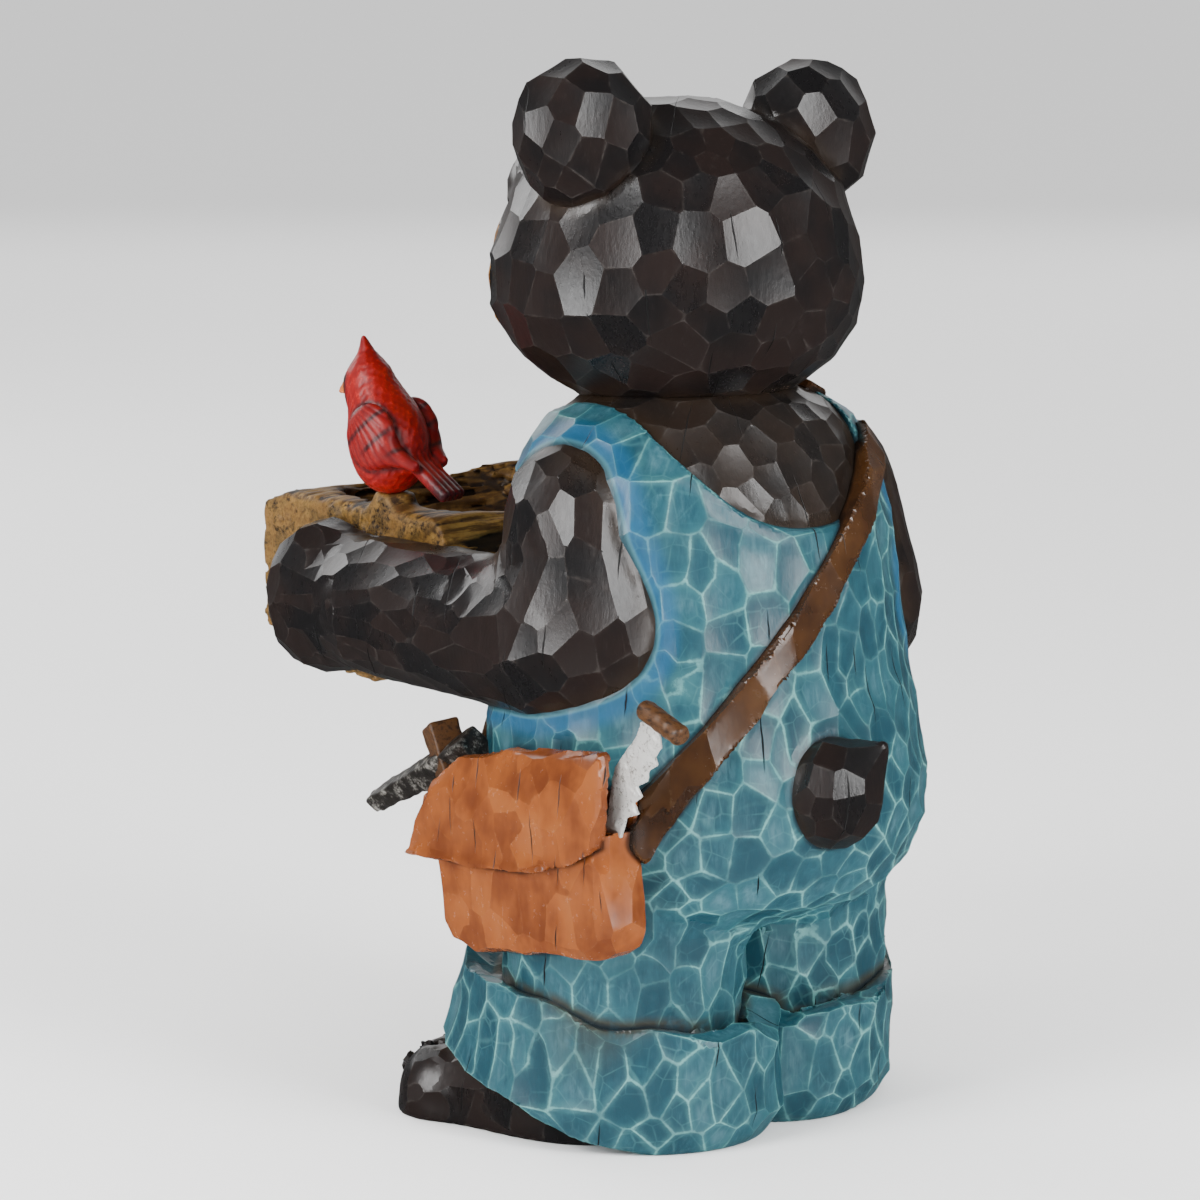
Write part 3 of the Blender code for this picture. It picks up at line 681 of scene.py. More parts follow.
@dataclass
class BearForm:
    """The forms of the casting: the bear, its overalls, cuffs, shoulder strap and satchel."""

    torso_rows: Profile = Profile(
        (
            (104, 70, 60, 8), (112, 88, 75, 9), (125, 100, 85, 10), (145, 107, 91, 11),
            (170, 108, 92, 11), (200, 103, 88, 11), (226, 96, 83, 11), (260, 91, 78, 11),
            (295, 90, 72, 9), (320, 86, 64, 5), (338, 72, 54, 2), (350, 50, 42, 0),
        )
    )
    skull: Ball = Ball((0, -9, 410), (88, 81, 75))
    cheeks: Ball = Ball((0, -12, 394), (91, 80, 56))
    brow: Ball = Ball((0, -72, 440), (50, 24, 26))
    muzzle: Ball = Ball((0, -82, 398), (46, 36, 32))
    nose: Ball = Ball((0, -116, 410), (13, 9, 9))
    mouth: Rod = Rod((0, -118, 392), (22, -108, 383), 2, 1.5)
    eye: Ball = Ball((27, -92, 431), (8, 8, 9))
    cheek_patch: Ball = Ball((62, -69, 401), (25, 26, 34))
    brow_patch: Ball = Ball((27, -88, 449), (10, 22, 6))
    ear: Ball = Ball((69, 3, 467), (34, 29, 35))
    ear_hollow: Ball = Ball((70, -34, 469), (20, 22, 21))
    head_roll: float = 0.032
    head_fillet: float = 14
    brow_fillet: float = 12
    snout_fillet: float = 6
    tan_reach: Pair = (5, 0.5)
    gloss_reach: Pair = (1.2, 0.8)
    shoulder: Ball = Ball((77, 9, 289), (33, 39, 42))
    elbow: Ball = Ball((79, 16, 243), (35, 48, 46))
    forearm: Rod = Rod((84, 2, 236), (94, -118, 238), 37, 34)
    paw: Ball = Ball((93, -158, 238), (34, 37, 38))
    shoulder_fillet: float = 24
    elbow_fillet: float = 16
    paw_fillet: float = 14
    paw_groove: tuple[Pair, Pair] = ((112, -190), (134, -168))
    paw_groove_radius: float = 3.2
    paw_groove_step: float = 16
    leg: Rod = Rod((48, 10, 130), (50, 8, 40), 57, 52)
    leg_fillet: float = 14
    ankle: Pair = (48, 0)
    right_foot_ahead: float = 7
    splay: float = math.radians(25)
    cuff_height: float = 52
    cuff_join: Rod = Rod((0, 36, 10), (0, 38, 47), 15, 13)
    cuff_thickness: float = 9
    cuff_reach: Pair = (82, 66)
    cuff_slope_top: float = 0.19
    cuff_slope_foot: float = 0.33
    cuff_base: float = 17
    cuff_flare: float = 0.2
    cuff_flare_start: float = 40
    cuff_tuck: float = 7
    cuff_tuck_height: float = 18
    cuff_waves: tuple[Triple, Triple] = ((1.6, 5, 1), (1.0, 9, 0))
    hem_height: float = 12
    lip_depth: float = 7
    lip_rise: float = 5.5
    lip_clear: float = 15
    foot_middle: Triple = (62, -41, 8)
    foot_half: Triple = (47, 61, 27)
    foot_corner: float = 25
    instep: Ball = Ball((56, -18, 14), (52, 62, 40))
    instep_fillet: float = 14
    toe_step: float = 22
    toe_groove: float = 26
    tail_body: Ball = Ball((5, 104, 170), (24, 23, 26))
    tail_tip: Rod = Rod((2, 110, 177), (-13, 118, 191), 14, 4)
    cloth_thickness: float = 3.5
    armhole_bead: float = 1.4
    bead_reach: Pair = (4, 11)
    hem_low: float = 14
    neck_wide: float = 61
    neck_top: float = 352
    neck_low: Pair = (290, 300)
    neck_parting: float = 10
    neck_power: float = 2.3
    neck_scale: float = 50
    bare_from: float = 262
    strap_width: float = 15.5
    strap_thickness: float = 5
    strap_back: tuple[Triple, Triple, Triple] = ((-70, 47, 322), (9, 81, 251), (76, 80, 182))
    strap_tail: tuple[Triple, Triple] = ((56, 91, 208), (101, 76, 150))
    strap_front: tuple[Triple, Triple, Triple] = ((-66, 14, 346), (15, -66, 262), (82, -64, 168))
    strap_parting: float = 18
    strap_foot: float = 140
    strap_right: float = 70
    strap_tail_depth: float = 8
    strap_tail_faces: Triple = (0.62, 0.78, 0.0)
    satchel_length: float = 127
    satchel_height: float = 90
    satchel_depth: float = 30
    flap_thickness: float = 5
    satchel_middle: Pair = (13, 140)
    satchel_outside: float = 124
    satchel_tilt: float = math.radians(8)
    satchel_swell: float = 3
    flap_overlap: float = 2
    mouth_wall: float = 4
    mouth_lip: float = 3
    saw_mouth: Pair = (0.5, 0.26)
    hammer_mouth: Pair = (-0.42, 0.30)
    flap_flare: float = 5
    flap_droop: float = 10
    flap_lip: float = 1.6
    bag_outline: Panel = Panel(
        (
            (-1.0, -0.70), (-0.9, -0.92), (-0.62, -1.04), (0.74, -1.0), (0.92, -0.88),
            (0.98, -0.68), (1.0, 0.60), (0.92, 0.74), (0.62, 0.64), (0.3, 0.95), (-0.4, 0.95), (-1.0, 0.2),
        )
    )
    flap_outline: Panel = Panel(
        (
            (-1.15, 0.04), (-1.06, 0.40), (-0.88, 0.74), (-0.55, 1.02), (0.0, 1.13),
            (0.5, 1.08), (1.05, 1.07), (1.05, 0.44), (0.98, 0.14), (0.66, -0.02),
            (0.1, -0.13), (-0.6, -0.08), (-1.02, 0.0),
        )
    )

    def torso(self, p: Numbers) -> Numbers:
        """Distances to the body without limbs."""
        wide, deep, middle = self.torso_rows.at(p[:, 2]).T
        ring = np.sqrt((p[:, 0] / wide) ** 2 + ((p[:, 1] - middle) / deep) ** 2)
        rows = self.torso_rows.rows
        ends = np.maximum(p[:, 2] - rows[-1][0], rows[0][0] - p[:, 2])
        return carve((ring - 1) * np.minimum(wide, deep), -ends, 8)

    def body(self, p: Numbers) -> Numbers:
        """Distances to the body and legs."""
        legs = [self.leg.distance(q) for q in self.both(p)]
        return blend(self.torso(p), np.minimum(*legs), self.leg_fillet)

    def both(self, p: Numbers) -> list[Numbers]:
        """The places as the left leg and as the right leg see them."""
        return [self.beside(p, side, self.right_foot_ahead) for side in Side]

    def beside(self, p: Numbers, side: Side, ahead: float = 0) -> Numbers:
        """The places as a limb sees them, where the right one may stand ahead."""
        return p * np.array((side.value, 1, 1)) + np.array((0, ahead * (side is Side.RIGHT), 0))

    def rolled(self, p: Numbers) -> tuple[Numbers, Numbers]:
        """The places tilted with the head, as they are and folded onto its left side."""
        p, m = p.copy(), mirrored(p)
        lift = self.head_roll * p[:, 0]
        m[:, 2] -= lift
        p[:, 2] -= lift
        return p, m

    def head(self, p: Numbers) -> Numbers:
        """Distances to the head with its cheeks, brow, muzzle, nose and eyes.

        Args:
            p: places, one in each row.

        Returns:
            One distance for each place.
        """
        p, m = self.rolled(p)
        whole = blend(self.skull.distance(p), self.cheeks.distance(p), self.head_fillet)
        whole = blend(whole, self.brow.distance(p), self.brow_fillet)
        whole = blend(whole, self.eye.distance(m), 1.5)
        snout = blend(self.muzzle.distance(p), self.nose.distance(p), 3)
        return blend(whole, carve(snout, self.mouth.distance(m), 2), self.snout_fillet)

    def ears(self, p: Numbers) -> Numbers:
        """Distances to the hollowed ears."""
        m = self.rolled(p)[1]
        return carve(self.ear.distance(m), self.ear_hollow.distance(m), 5)

    def bare_arm(self, m: Numbers) -> Numbers:
        """Distances to one arm as far as the wrist."""
        upper = blend(self.shoulder.distance(m), self.elbow.distance(m), self.shoulder_fillet)
        return blend(upper, self.forearm.distance(m), self.elbow_fillet)

    def arm(self, m: Numbers) -> Numbers:
        """Distances to one arm with its paw and the grooves between the toes."""
        paw = self.paw.distance(m)
        for step in (-1, 0, 1):
            z = self.paw.middle[2] + step * self.paw_groove_step
            start, end = ((*place, z) for place in self.paw_groove)
            groove = Rod(start, end, self.paw_groove_radius, self.paw_groove_radius)
            paw = carve(paw, groove.distance(m), 4)
        return blend(self.bare_arm(m), paw, self.paw_fillet)

    def along_foot(self, m: Numbers) -> tuple[Numbers, Numbers]:
        """How far forwards of the ankle each place is along the foot, and how far outwards."""
        x, y = m[:, 0] - self.ankle[0], m[:, 1] - self.ankle[1]
        sin, cos = math.sin(self.splay), math.cos(self.splay)
        return x * sin - y * cos, x * cos + y * sin

    def foot(self, m: Numbers) -> Numbers:
        """Distances to one foot with the grooves between its toes.

        Args:
            m: places, one in each row.

        Returns:
            One distance for each place.
        """
        sin, cos = math.sin(self.splay), math.cos(self.splay)
        turn = ((cos, sin, 0), (sin, -cos, 0), (0, 0, 1))
        middle, half = self.foot_middle, self.foot_half
        whole = Block(middle, half, self.foot_corner, turn).distance(m)
        whole = blend(whole, self.instep.distance(m), self.instep_fillet)
        for step in (-1, 0, 1):
            across = np.array((cos, sin)) * step * self.toe_step
            tip = np.array(middle[:2]) + np.array((sin, -cos)) * (half[1] + 2) + across
            back = tip - np.array((sin, -cos)) * self.toe_groove
            groove = Rod((*tip, 8), (*back, middle[2] + half[2] + 1), 4, 2.5)
            whole = carve(whole, groove.distance(m), 5)
        return whole

    def cuff(self, m: Numbers) -> Numbers:
        """Distances to one rolled trouser cuff, which rises towards the toes.

        Args:
            m: places, one in each row.

        Returns:
            One distance for each place.
        """
        forwards, outwards = self.along_foot(m)
        long, wide = self.cuff_reach
        ring = (np.sqrt((forwards / long) ** 2 + (outwards / wide) ** 2) - 1) * wide
        ring += self.cuff_flare * np.clip(forwards / long, 0, 1) * (m[:, 2] - self.cuff_flare_start)
        ring += self.cuff_tuck * np.clip(1 - m[:, 2] / self.cuff_tuck_height, 0, 1) ** 2
        turn = np.arctan2(outwards, forwards)
        wave = sum(high * np.sin(turn * count + start) for high, count, start in self.cuff_waves)
        rim = m[:, 2] - (self.cuff_base + self.cuff_height + self.cuff_slope_top * forwards + wave)
        hem = self.hem_height + self.cuff_slope_foot * forwards - m[:, 2]
        depth = self.lip_depth - self.lip_rise * smooth(forwards, 5, 55)
        lip = np.maximum(ring + self.cuff_thickness, -(rim + depth))
        lip = np.maximum(lip, self.lip_clear - m[:, 0])
        body = carve(carve(ring, -rim, 5), lip, 3)
        body = blend(body, self.cuff_join.distance(m), 9)
        return carve(body, -hem, 5)

    def neckline(self, p: Numbers) -> Numbers:
        """Distances to the opening that the cloth leaves round the neck, lower behind than in front.

        Args:
            p: places, one in each row.

        Returns:
            One distance for each place.
        """
        tall = self.neck_top - np.where(p[:, 1] > self.neck_parting, *self.neck_low)
        down = np.maximum(self.neck_top - p[:, 2], 0) / tall
        ring = (np.abs(p[:, 0]) / self.neck_wide) ** self.neck_power + down**self.neck_power
        return (ring ** (1 / self.neck_power) - 1) * self.neck_scale

    def overalls(self, p: Numbers) -> Numbers:
        """Distances to the cloth over the body, cut out at the neck, with a bead round each armhole.

        Args:
            p: places, one in each row.

        Returns:
            One distance for each place.
        """
        bead = self.armhole_bead * (1 - smooth(self.bare_arm(mirrored(p)), *self.bead_reach))
        cloth = self.body(p) - self.cloth_thickness - bead
        cloth = np.maximum(np.maximum(cloth, self.hem_low - p[:, 2]), 0.5 - self.head(p))
        return carve(cloth, self.neckline(p), 2.5)

    def neck(self, p: Numbers) -> Numbers:
        """Distances to the bare neck and shoulders above the cloth."""
        return np.maximum(self.torso(p), self.bare_from - p[:, 2])

    def tail(self, p: Numbers) -> Numbers:
        """Distances to the tail, which ends in a point up and to the right."""
        return blend(self.tail_body.distance(p), self.tail_tip.distance(p), 7)

    def strap(self, p: Numbers) -> Numbers:
        """Distances to the shoulder strap, a band round the body in one plane behind and one in front.

        Args:
            p: places, one in each row.

        Returns:
            One distance for each place.
        """
        clothed = blend(self.body(p), self.overalls(p), 3)
        bands = []
        for corners, side in ((self.strap_back, 1), (self.strap_front, -1)):
            a, b, c = (np.array(corner, float) for corner in corners)
            normal = np.cross(b - a, c - a)
            normal /= np.linalg.norm(normal)
            across = np.abs((p - a) @ normal) - self.strap_width / 2
            half = np.maximum(across, -side * (p[:, 1] - self.strap_parting))
            bands.append(np.maximum(half, self.strap_foot - p[:, 2]))
        ends = np.array(self.strap_tail, float)
        run = ends[1] - ends[0]
        reach = float(np.linalg.norm(run)) / 2
        run /= np.linalg.norm(run)
        across = np.cross(run, self.strap_tail_faces)
        across /= np.linalg.norm(across)
        out = np.cross(across, run)
        deep = self.strap_tail_depth
        middle = ends.mean(axis=0) - out * deep
        straight = Block(tuple(middle), (reach, self.strap_width / 2, deep), 2, (run, across, out))
        band = np.maximum(np.minimum(*bands), p[:, 2] - self.neck_top)
        band = np.maximum(band, -self.strap_right - p[:, 0])
        band = carve(band, -(np.abs(clothed) - self.strap_thickness), 2.0)
        return np.minimum(band, straight.distance(p))

    def satchel_flat(self, p: Numbers) -> tuple[Numbers, Numbers, Numbers]:
        """Places on the satchel's face: as shares of its half length and height, and in drawing units."""
        y, z = p[:, 1] - self.satchel_middle[0], p[:, 2] - self.satchel_middle[1]
        sin, cos = math.sin(self.satchel_tilt), math.cos(self.satchel_tilt)
        flat = np.column_stack([y * cos + z * sin, z * cos - y * sin])
        return flat[:, 0] / (self.satchel_length / 2), flat[:, 1] / (self.satchel_height / 2), flat

    def satchel_face(self, along: Numbers, up: Numbers) -> Numbers:
        """How far out the bag's face is."""
        swell = np.clip(1 - along * along * 0.6, 0, 1) * np.clip(1 - up * up * 0.5, 0, 1)
        return self.satchel_outside - self.flap_thickness - self.flap_overlap + self.satchel_swell * swell

    def bag(self, p: Numbers) -> Numbers:
        """Distances to the satchel's bag, whose mouth is open at both ends.

        Args:
            p: places, one in each row.

        Returns:
            One distance for each place.
        """
        along, up, flat = self.satchel_flat(p)
        face = self.satchel_face(along, up)
        inside = self.satchel_outside - self.satchel_depth
        scale = (self.satchel_length / 2, self.satchel_height / 2)
        bag = carve(self.bag_outline.distance(flat, scale), -(p[:, 0] - face), 8)
        mouth = np.maximum(inside + self.mouth_wall - p[:, 0], p[:, 0] - face + self.mouth_lip)
        (back, back_low), (front, front_low) = self.saw_mouth, self.hammer_mouth
        for_saw = np.maximum(mouth, np.maximum(back - along, back_low - up) * scale[1])
        for_hammer = np.maximum(mouth, np.maximum(along - front, front_low - up) * scale[1])
        bag = np.maximum(bag, -np.minimum(for_saw, for_hammer))
        return carve(bag, -(inside - p[:, 0]), 3)

    def flap(self, p: Numbers) -> Numbers:
        """Distances to the satchel's flap, with a lip along its edge and a flared corner in front.

        Args:
            p: places, one in each row.

        Returns:
            One distance for each place.
        """
        along, up, flat = self.satchel_flat(p)
        face = self.satchel_face(along, up)
        edge = self.flap_outline.distance(flat, (self.satchel_length / 2, self.satchel_height / 2))
        flare = self.flap_flare * np.clip(-along - 0.6, 0, 1) * np.clip(1.1 - up, 0, 1.2)
        droop = self.flap_droop * np.clip(up - 0.35, 0, 1) ** 2
        low_front = (1 - smooth(up, 0.1, 0.6)) * (1 - smooth(along, 0.5, 0.9))
        lip = self.flap_lip * (1 - smooth(-edge, 1, 6)) * low_front
        outside = face + self.flap_thickness + flare + lip - droop
        under = face - self.flap_overlap + 0.8 * flare - droop
        return carve(carve(edge, -(p[:, 0] - outside), 3), -(under - p[:, 0]), 1.5)

    def held(self, form: Field) -> Field:
        """A form cut flat at the ground, with room for the log."""

        def field(p: Numbers) -> Numbers:
            """Distances to what is left of the form."""
            return np.maximum(np.maximum(form(p), -p[:, 2]), -LogForm().hull(p, 0.8))

        return field

    def limb(self, form: Field, side: Side, ahead: float = 0) -> Field:
        """A left limb's form on one side of the bear."""
        return lambda p: form(self.beside(p, side, ahead))

    def one_ear(self, side: Side) -> Field:
        """The ear on one side of the head."""
        return lambda p: np.maximum(self.ears(p), -side.value * p[:, 0])

    def neighbours(self, p: Numbers, own: str) -> dict[str, Numbers]:
        """Distances to the forms that one form may touch.

        Args:
            p: places, one in each row.
            own: the name of the form itself, which is left out.

        Returns:
            Distances by name.
        """
        m = mirrored(p)
        forms = {
            "head": lambda: self.head(p),
            "ear": lambda: self.ears(p),
            "arm": lambda: self.arm(m),
            "foot": lambda: np.minimum(*[self.foot(q) for q in self.both(p)]),
            "cuff": lambda: np.minimum(*[self.cuff(q) for q in self.both(p)]),
            "overalls": lambda: self.overalls(p),
            "neck": lambda: self.neck(p),
            "tail": lambda: self.tail(p),
            "strap": lambda: self.strap(p),
            "bag": lambda: self.bag(p),
            "flap": lambda: self.flap(p),
        }
        return {name: form() for name, form in forms.items() if name != own}

    def face_scores(self, p: Numbers) -> Numbers:
        """How far each place is from the fur, the tan patches, the nose and the eyes.

        Args:
            p: places, one in each row.

        Returns:
            One column for each paint; the lowest one wins.
        """
        q, m = self.rolled(p)
        over_muzzle, over_brow = self.tan_reach
        tan = np.minimum(self.muzzle.distance(q) - over_muzzle, self.brow_patch.distance(m) - over_brow)
        tan = np.clip(np.minimum(tan, self.cheek_patch.distance(m)), -4, 50)
        shiny = []
        for form, places, reach in zip((self.nose, self.eye), (q, m), self.gloss_reach):
            score = np.clip(3 * (form.distance(places) - reach), -4, 50) - 4
            shiny.append(np.where(score < -4, score, 50))
        return np.column_stack([np.zeros(len(p)), tan, *shiny])

    def ear_scores(self, p: Numbers) -> Numbers:
        """How far each place is from the fur and from the tan inside of an ear."""
        hollow = self.ear_hollow.distance(self.rolled(p)[1])
        return np.column_stack([np.zeros(len(p)), hollow - 1])


def settle(piece: bpy.types.Object, sharp: float) -> None:
    """Thins a mesh that is too fine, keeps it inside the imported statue's box and marks its ridges.

    Args:
        piece: the object.
        sharp: how far two faces turn where the edge between them is kept crisp.
    """
    if len(piece.data.polygons) > MOST_TRIANGLES:
        thin = piece.modifiers.new("thin", "DECIMATE")
        thin.ratio = MOST_TRIANGLES / len(piece.data.polygons)
        graph = bpy.context.evaluated_depsgraph_get()
        mesh = bpy.data.meshes.new_from_object(piece.evaluated_get(graph))
        piece.modifiers.clear()
        piece.data = mesh
    mesh = piece.data
    points = np.empty(len(mesh.vertices) * 3, np.float32)
    mesh.vertices.foreach_get("co", points)
    low, high = (np.array(corner, np.float32) for corner in cad_bounds)
    mesh.vertices.foreach_set("co", np.clip(points.reshape(-1, 3), low, high).ravel())
    mesh.shade_smooth()
    mesh.set_sharp_from_angle(angle=sharp)
    mesh.update()


@dataclass
class Shell:
    """One form of the casting, how finely it is carved, and its paints."""

    name: str
    own: str
    field: Field
    paints: tuple[object, ...]
    pitch: float = 2.0
    chip: float = 21
    scoop: float = 0.0035
    tilt: float = 0.05
    strength: float = 1.0
    swell: float = 0.0
    axis: Union[Pair, None] = None
    scores: Union[Field, None] = None
    soft: tuple[float, ...] = (1.0, 0.7, 0.0, 0.0)

    def shape(self, p: Numbers) -> Numbers:
        """Distances to the form, made slightly uneven."""
        return self.field(p) - self.swell * ripple(p, 70, 21)

    def grain(self, p: Numbers) -> tuple[Numbers, Numbers]:
        """Flat coordinates that the drying cracks follow, and where they may run.

        Args:
            p: places, one in each row.

        Returns:
            Coordinates across and up, and a share that is nothing at the seam.
        """
        if self.axis is None:
            across = p[:, 1] - 0.75 * (np.abs(p[:, 0]) - 90) + 400 * np.sign(p[:, 0])
            room = np.ones(len(p))
        else:
            turn = np.arctan2(p[:, 0] - self.axis[0], p[:, 1] - self.axis[1])
            across = 90 * turn
            room = smooth(math.pi - np.abs(turn), 0.05, 0.1)
        return np.column_stack([across, p[:, 2] + 0.12 * across, np.zeros(len(p))]), room

    def build(self, form: BearForm) -> bpy.types.Object:
        """Carves the form and makes its mesh.

        Args:
            form: the bear that it is part of.

        Returns:
            The object with its paints.
        """
        points, quads = Sculptor(self.pitch).found(self.shape)
        normals = normals_of(points, quads)
        scores = np.zeros((len(points), 1)) if self.scores is None else self.scores(points)
        weight = self.strength * np.array(self.soft)[scores.argmin(1)]
        weight = weight * np.clip((points[:, 2] - 2) / 8, 0, 1)
        weight *= smooth(LogForm().hull(points, 0.8), 0.3, 4)
        near = form.neighbours(points, self.own)
        gap = np.min(list(near.values()), axis=0)
        weight *= 0.25 + 0.75 * smooth(gap, 0.0, 4.5)
        if self.own == "overalls":
            weight *= 0.08 + 0.92 * smooth(form.neckline(points), 1, 10)
        spacing = self.chip * (1 + 0.22 * ripple(points, 60, 17))
        carving = Carving(points, normals, scores, spacing, weight, self.scoop, self.tilt)
        grain, room = self.grain(points)
        values = {
            "gap": np.clip(gap, 0, 30),
            "armhole": np.clip(form.bare_arm(mirrored(points)), -5, 40),
            "cuff_gap": np.clip(near.get("cuff", near.get("overalls")), 0, 40),
            "grain": grain,
            "room": room * smooth(gap, 0.5, 2.5),
        }
        mesh = carving.cut(triangles_of(points, quads), values)
        piece = mesh.make(self.name, [dressed(paint) for paint in self.paints])
        settle(piece, math.radians(8))
        return piece


@dataclass
class Bear:
    """The casting, carved and painted form by form."""

    form: BearForm

    def shells(self) -> list[Shell]:
        """Lists the forms.

        Returns:
            The forms in the order in which they are carved.
        """
        form, held = self.form, self.form.held
        fur, denim = FurFinish(), DenimFinish()
        face = (fur, MuzzleFinish(), NOSE_GLOSS, EYE_GLOSS)
        back = (0, 10)
        cloth = {"pitch": 2.1, "chip": 15.5, "scoop": 0.0085}
        leather = {"chip": 15, "scoop": 0.006, "tilt": 0.10, "strength": 0.6}
        made = [
            Shell("head_carving", "head", form.head, face, chip=17.5, axis=(0, -9), scores=form.face_scores),
            Shell(
                "neck_carving", "neck", held(form.neck), (NAPE_FUR,),
                pitch=2.4, chip=16.5, scoop=0.006, axis=back,
            ),
            Shell(
                "overalls_carving", "overalls", held(form.overalls), (denim,),
                swell=0.9, axis=back, **cloth,
            ),
            Shell("tail_carving", "tail", form.tail, (fur,), pitch=1.3, chip=15, strength=0.8, axis=back),
            Shell(
                "strap_carving", "strap", form.strap, (STRAP_LEATHER,),
                pitch=1.6, chip=15, scoop=0.007, tilt=0.08, strength=0.6, axis=back,
            ),
            Shell("satchel_bag", "bag", form.bag, (SATCHEL_LEATHER,), pitch=1.6, **leather),
            Shell("satchel_flap", "flap", form.flap, (SATCHEL_LEATHER,), pitch=1.4, **leather),
        ]
        for side in Side:
            word, sign, step = side.name.lower(), side.value, form.right_foot_ahead
            arm = held(form.limb(form.arm, side))
            cuff, foot = (held(form.limb(part, side, step)) for part in (form.cuff, form.foot))
            made += [
                Shell(
                    f"ear_{word}", "ear", form.one_ear(side), (fur, MuzzleFinish()),
                    pitch=1.5, chip=16, axis=(sign * 69, -30), scores=form.ear_scores,
                ),
                Shell(f"arm_{word}", "arm", arm, (fur,), pitch=2.3, chip=15.5, tilt=0.035),
                Shell(f"cuff_{word}", "cuff", cuff, (denim,), swell=0.6, axis=(sign * 48, -9), **cloth),
                Shell(f"foot_{word}", "foot", foot, (fur,), pitch=2.2, chip=20, strength=0.8),
            ]
        return made

    def build(self) -> list[bpy.types.Object]:
        """Carves every form."""
        return [shell.build(self.form) for shell in self.shells()]


@dataclass
class LogForm:
    """The hollowed log: bark outside, end grain at its ends and a bowl worn into its top."""

    middle: Triple = (0, -152, 247)
    length: float = 176
    width: float = 158
    height: float = 94
    bowl_depth: float = 46
    wall: float = 16
    perch: Triple = PERCH
    top_share: float = 0.44
    oval_share: float = 0.54
    bark: tuple[Triple, ...] = ((1.6, 9, 0.020), (1.1, 17, -0.034), (0.8, 25, 0.05))

    def hull(self, p: Numbers, grow: float) -> Numbers:
        """Distances to the log's smooth oval envelope.

        Args:
            p: places, one in each row.
            grow: how much larger it is made all round.

        Returns:
            One distance for each place.
        """
        q = p - np.array(self.middle)
        half = (self.length / 2, self.width / 2, self.height * self.oval_share)
        ring = (np.abs(q[:, 1] / half[1]) ** 3 + np.abs(q[:, 2] / half[2]) ** 3) ** (1 / 3)
        top = q[:, 2] - self.height * self.top_share
        return np.maximum(np.maximum((ring - 1) * half[2], np.abs(q[:, 0]) - half[0]), top) - grow

    def bowl(self, p: Numbers) -> Numbers:
        """Distances to the hollow in the log's top."""
        q = p - np.array(self.middle)
        half = (self.length / 2 - self.wall, self.width / 2 - self.wall)
        ring = ((np.abs(q[:, 0]) / half[0]) ** 4 + (np.abs(q[:, 1]) / half[1]) ** 3) ** (1 / 3.5)
        depth = (q[:, 2] - self.height * self.top_share) / self.bowl_depth
        return (np.sqrt(ring**2 + np.minimum(depth, 0) ** 2) - 1) * half[1] * 0.7

    def fibres(self, p: Numbers) -> Numbers:
        """How deep the grooves of the wood are, which run along the log.

        Args:
            p: places, one in each row.

        Returns:
            Depths between 0 and about 1.
        """
        q = (p - np.array(self.middle)) * np.array((0.10, 1.0, 1.0))
        bend = q + 2.2 * ripple(q, 26, 3)[:, None]
        wide = np.abs(ripple(bend, 11, 4))
        fine = np.abs(ripple(bend, 5, 8))
        return 0.65 * (1 - smooth(wide, 0.0, 0.55)) + 0.35 * (1 - smooth(fine, 0.0, 0.6))

    def solid(self, p: Numbers) -> Numbers:
        """Distances to the hollowed log with its bark and fibres.

        Args:
            p: places, one in each row.

        Returns:
            One distance for each place.
        """
        q = p - np.array(self.middle)
        turn = np.arctan2(q[:, 2], q[:, 1])
        bark = np.zeros(len(p))
        for share, waves, drift in self.bark:
            bark += share * (1 + np.sin(waves * turn + drift * q[:, 0] + waves)) / 2
        top, half = self.height * self.top_share, self.length / 2
        ends = np.clip(np.abs(q[:, 0]) / half, 0, 1)
        dip = 3.0 + 2.5 * np.sin(q[:, 0] * 0.035 + 1.0) + 5.0 * ends**6
        grooves = self.fibres(p)
        whole = self.hull(p, 0) + bark + 1.6 * grooves * (1 - smooth(ends, 0.94, 0.99))
        whole = carve(whole, -(q[:, 2] - top + dip + 1.4 * grooves), 5)
        whole = carve(whole, self.bowl(p) + 1.8 - 3.0 * grooves, 3)
        x, y, z = self.perch
        stump = Rod((x - 3, y, z - 24), (x - 3, y, z - 5), 15, 11).distance(p)
        stump = carve(stump + 0.7 * ripple(p, 9, 2), z + 2.2 - p[:, 2], 2)
        face = np.abs(q[:, 0]) - half + 0.3 + 0.7 * (1 + ripple(p, 6, 6))
        face += 2.2 * np.clip(ripple(p, 9, 9) - 0.9, 0, 1)
        return np.maximum(blend(whole, stump, 5), face)


@dataclass
class LogBowl:
    """The log that the bear carries, for water or seed."""

    form: LogForm
    pitch: float = 1.8

    def build(self) -> list[bpy.types.Object]:
        """Carves the log and makes its mesh.

        Returns:
            The object with its paint.
        """
        form = self.form
        points, quads = Sculptor(self.pitch).found(form.solid)
        q = points - np.array(form.middle)
        values = {
            "end": smooth(np.abs(q[:, 0]), form.length / 2 - 4, form.length / 2 - 1.5),
            "hollow": 1 - smooth(form.bowl(points), -1, 3),
            "groove": form.fibres(points),
        }
        mesh = Mesh(points, triangles_of(points, quads), values, {})
        piece = mesh.make("log_carving", [dressed(LogFinish())])
        settle(piece, math.radians(60))
        return [piece]


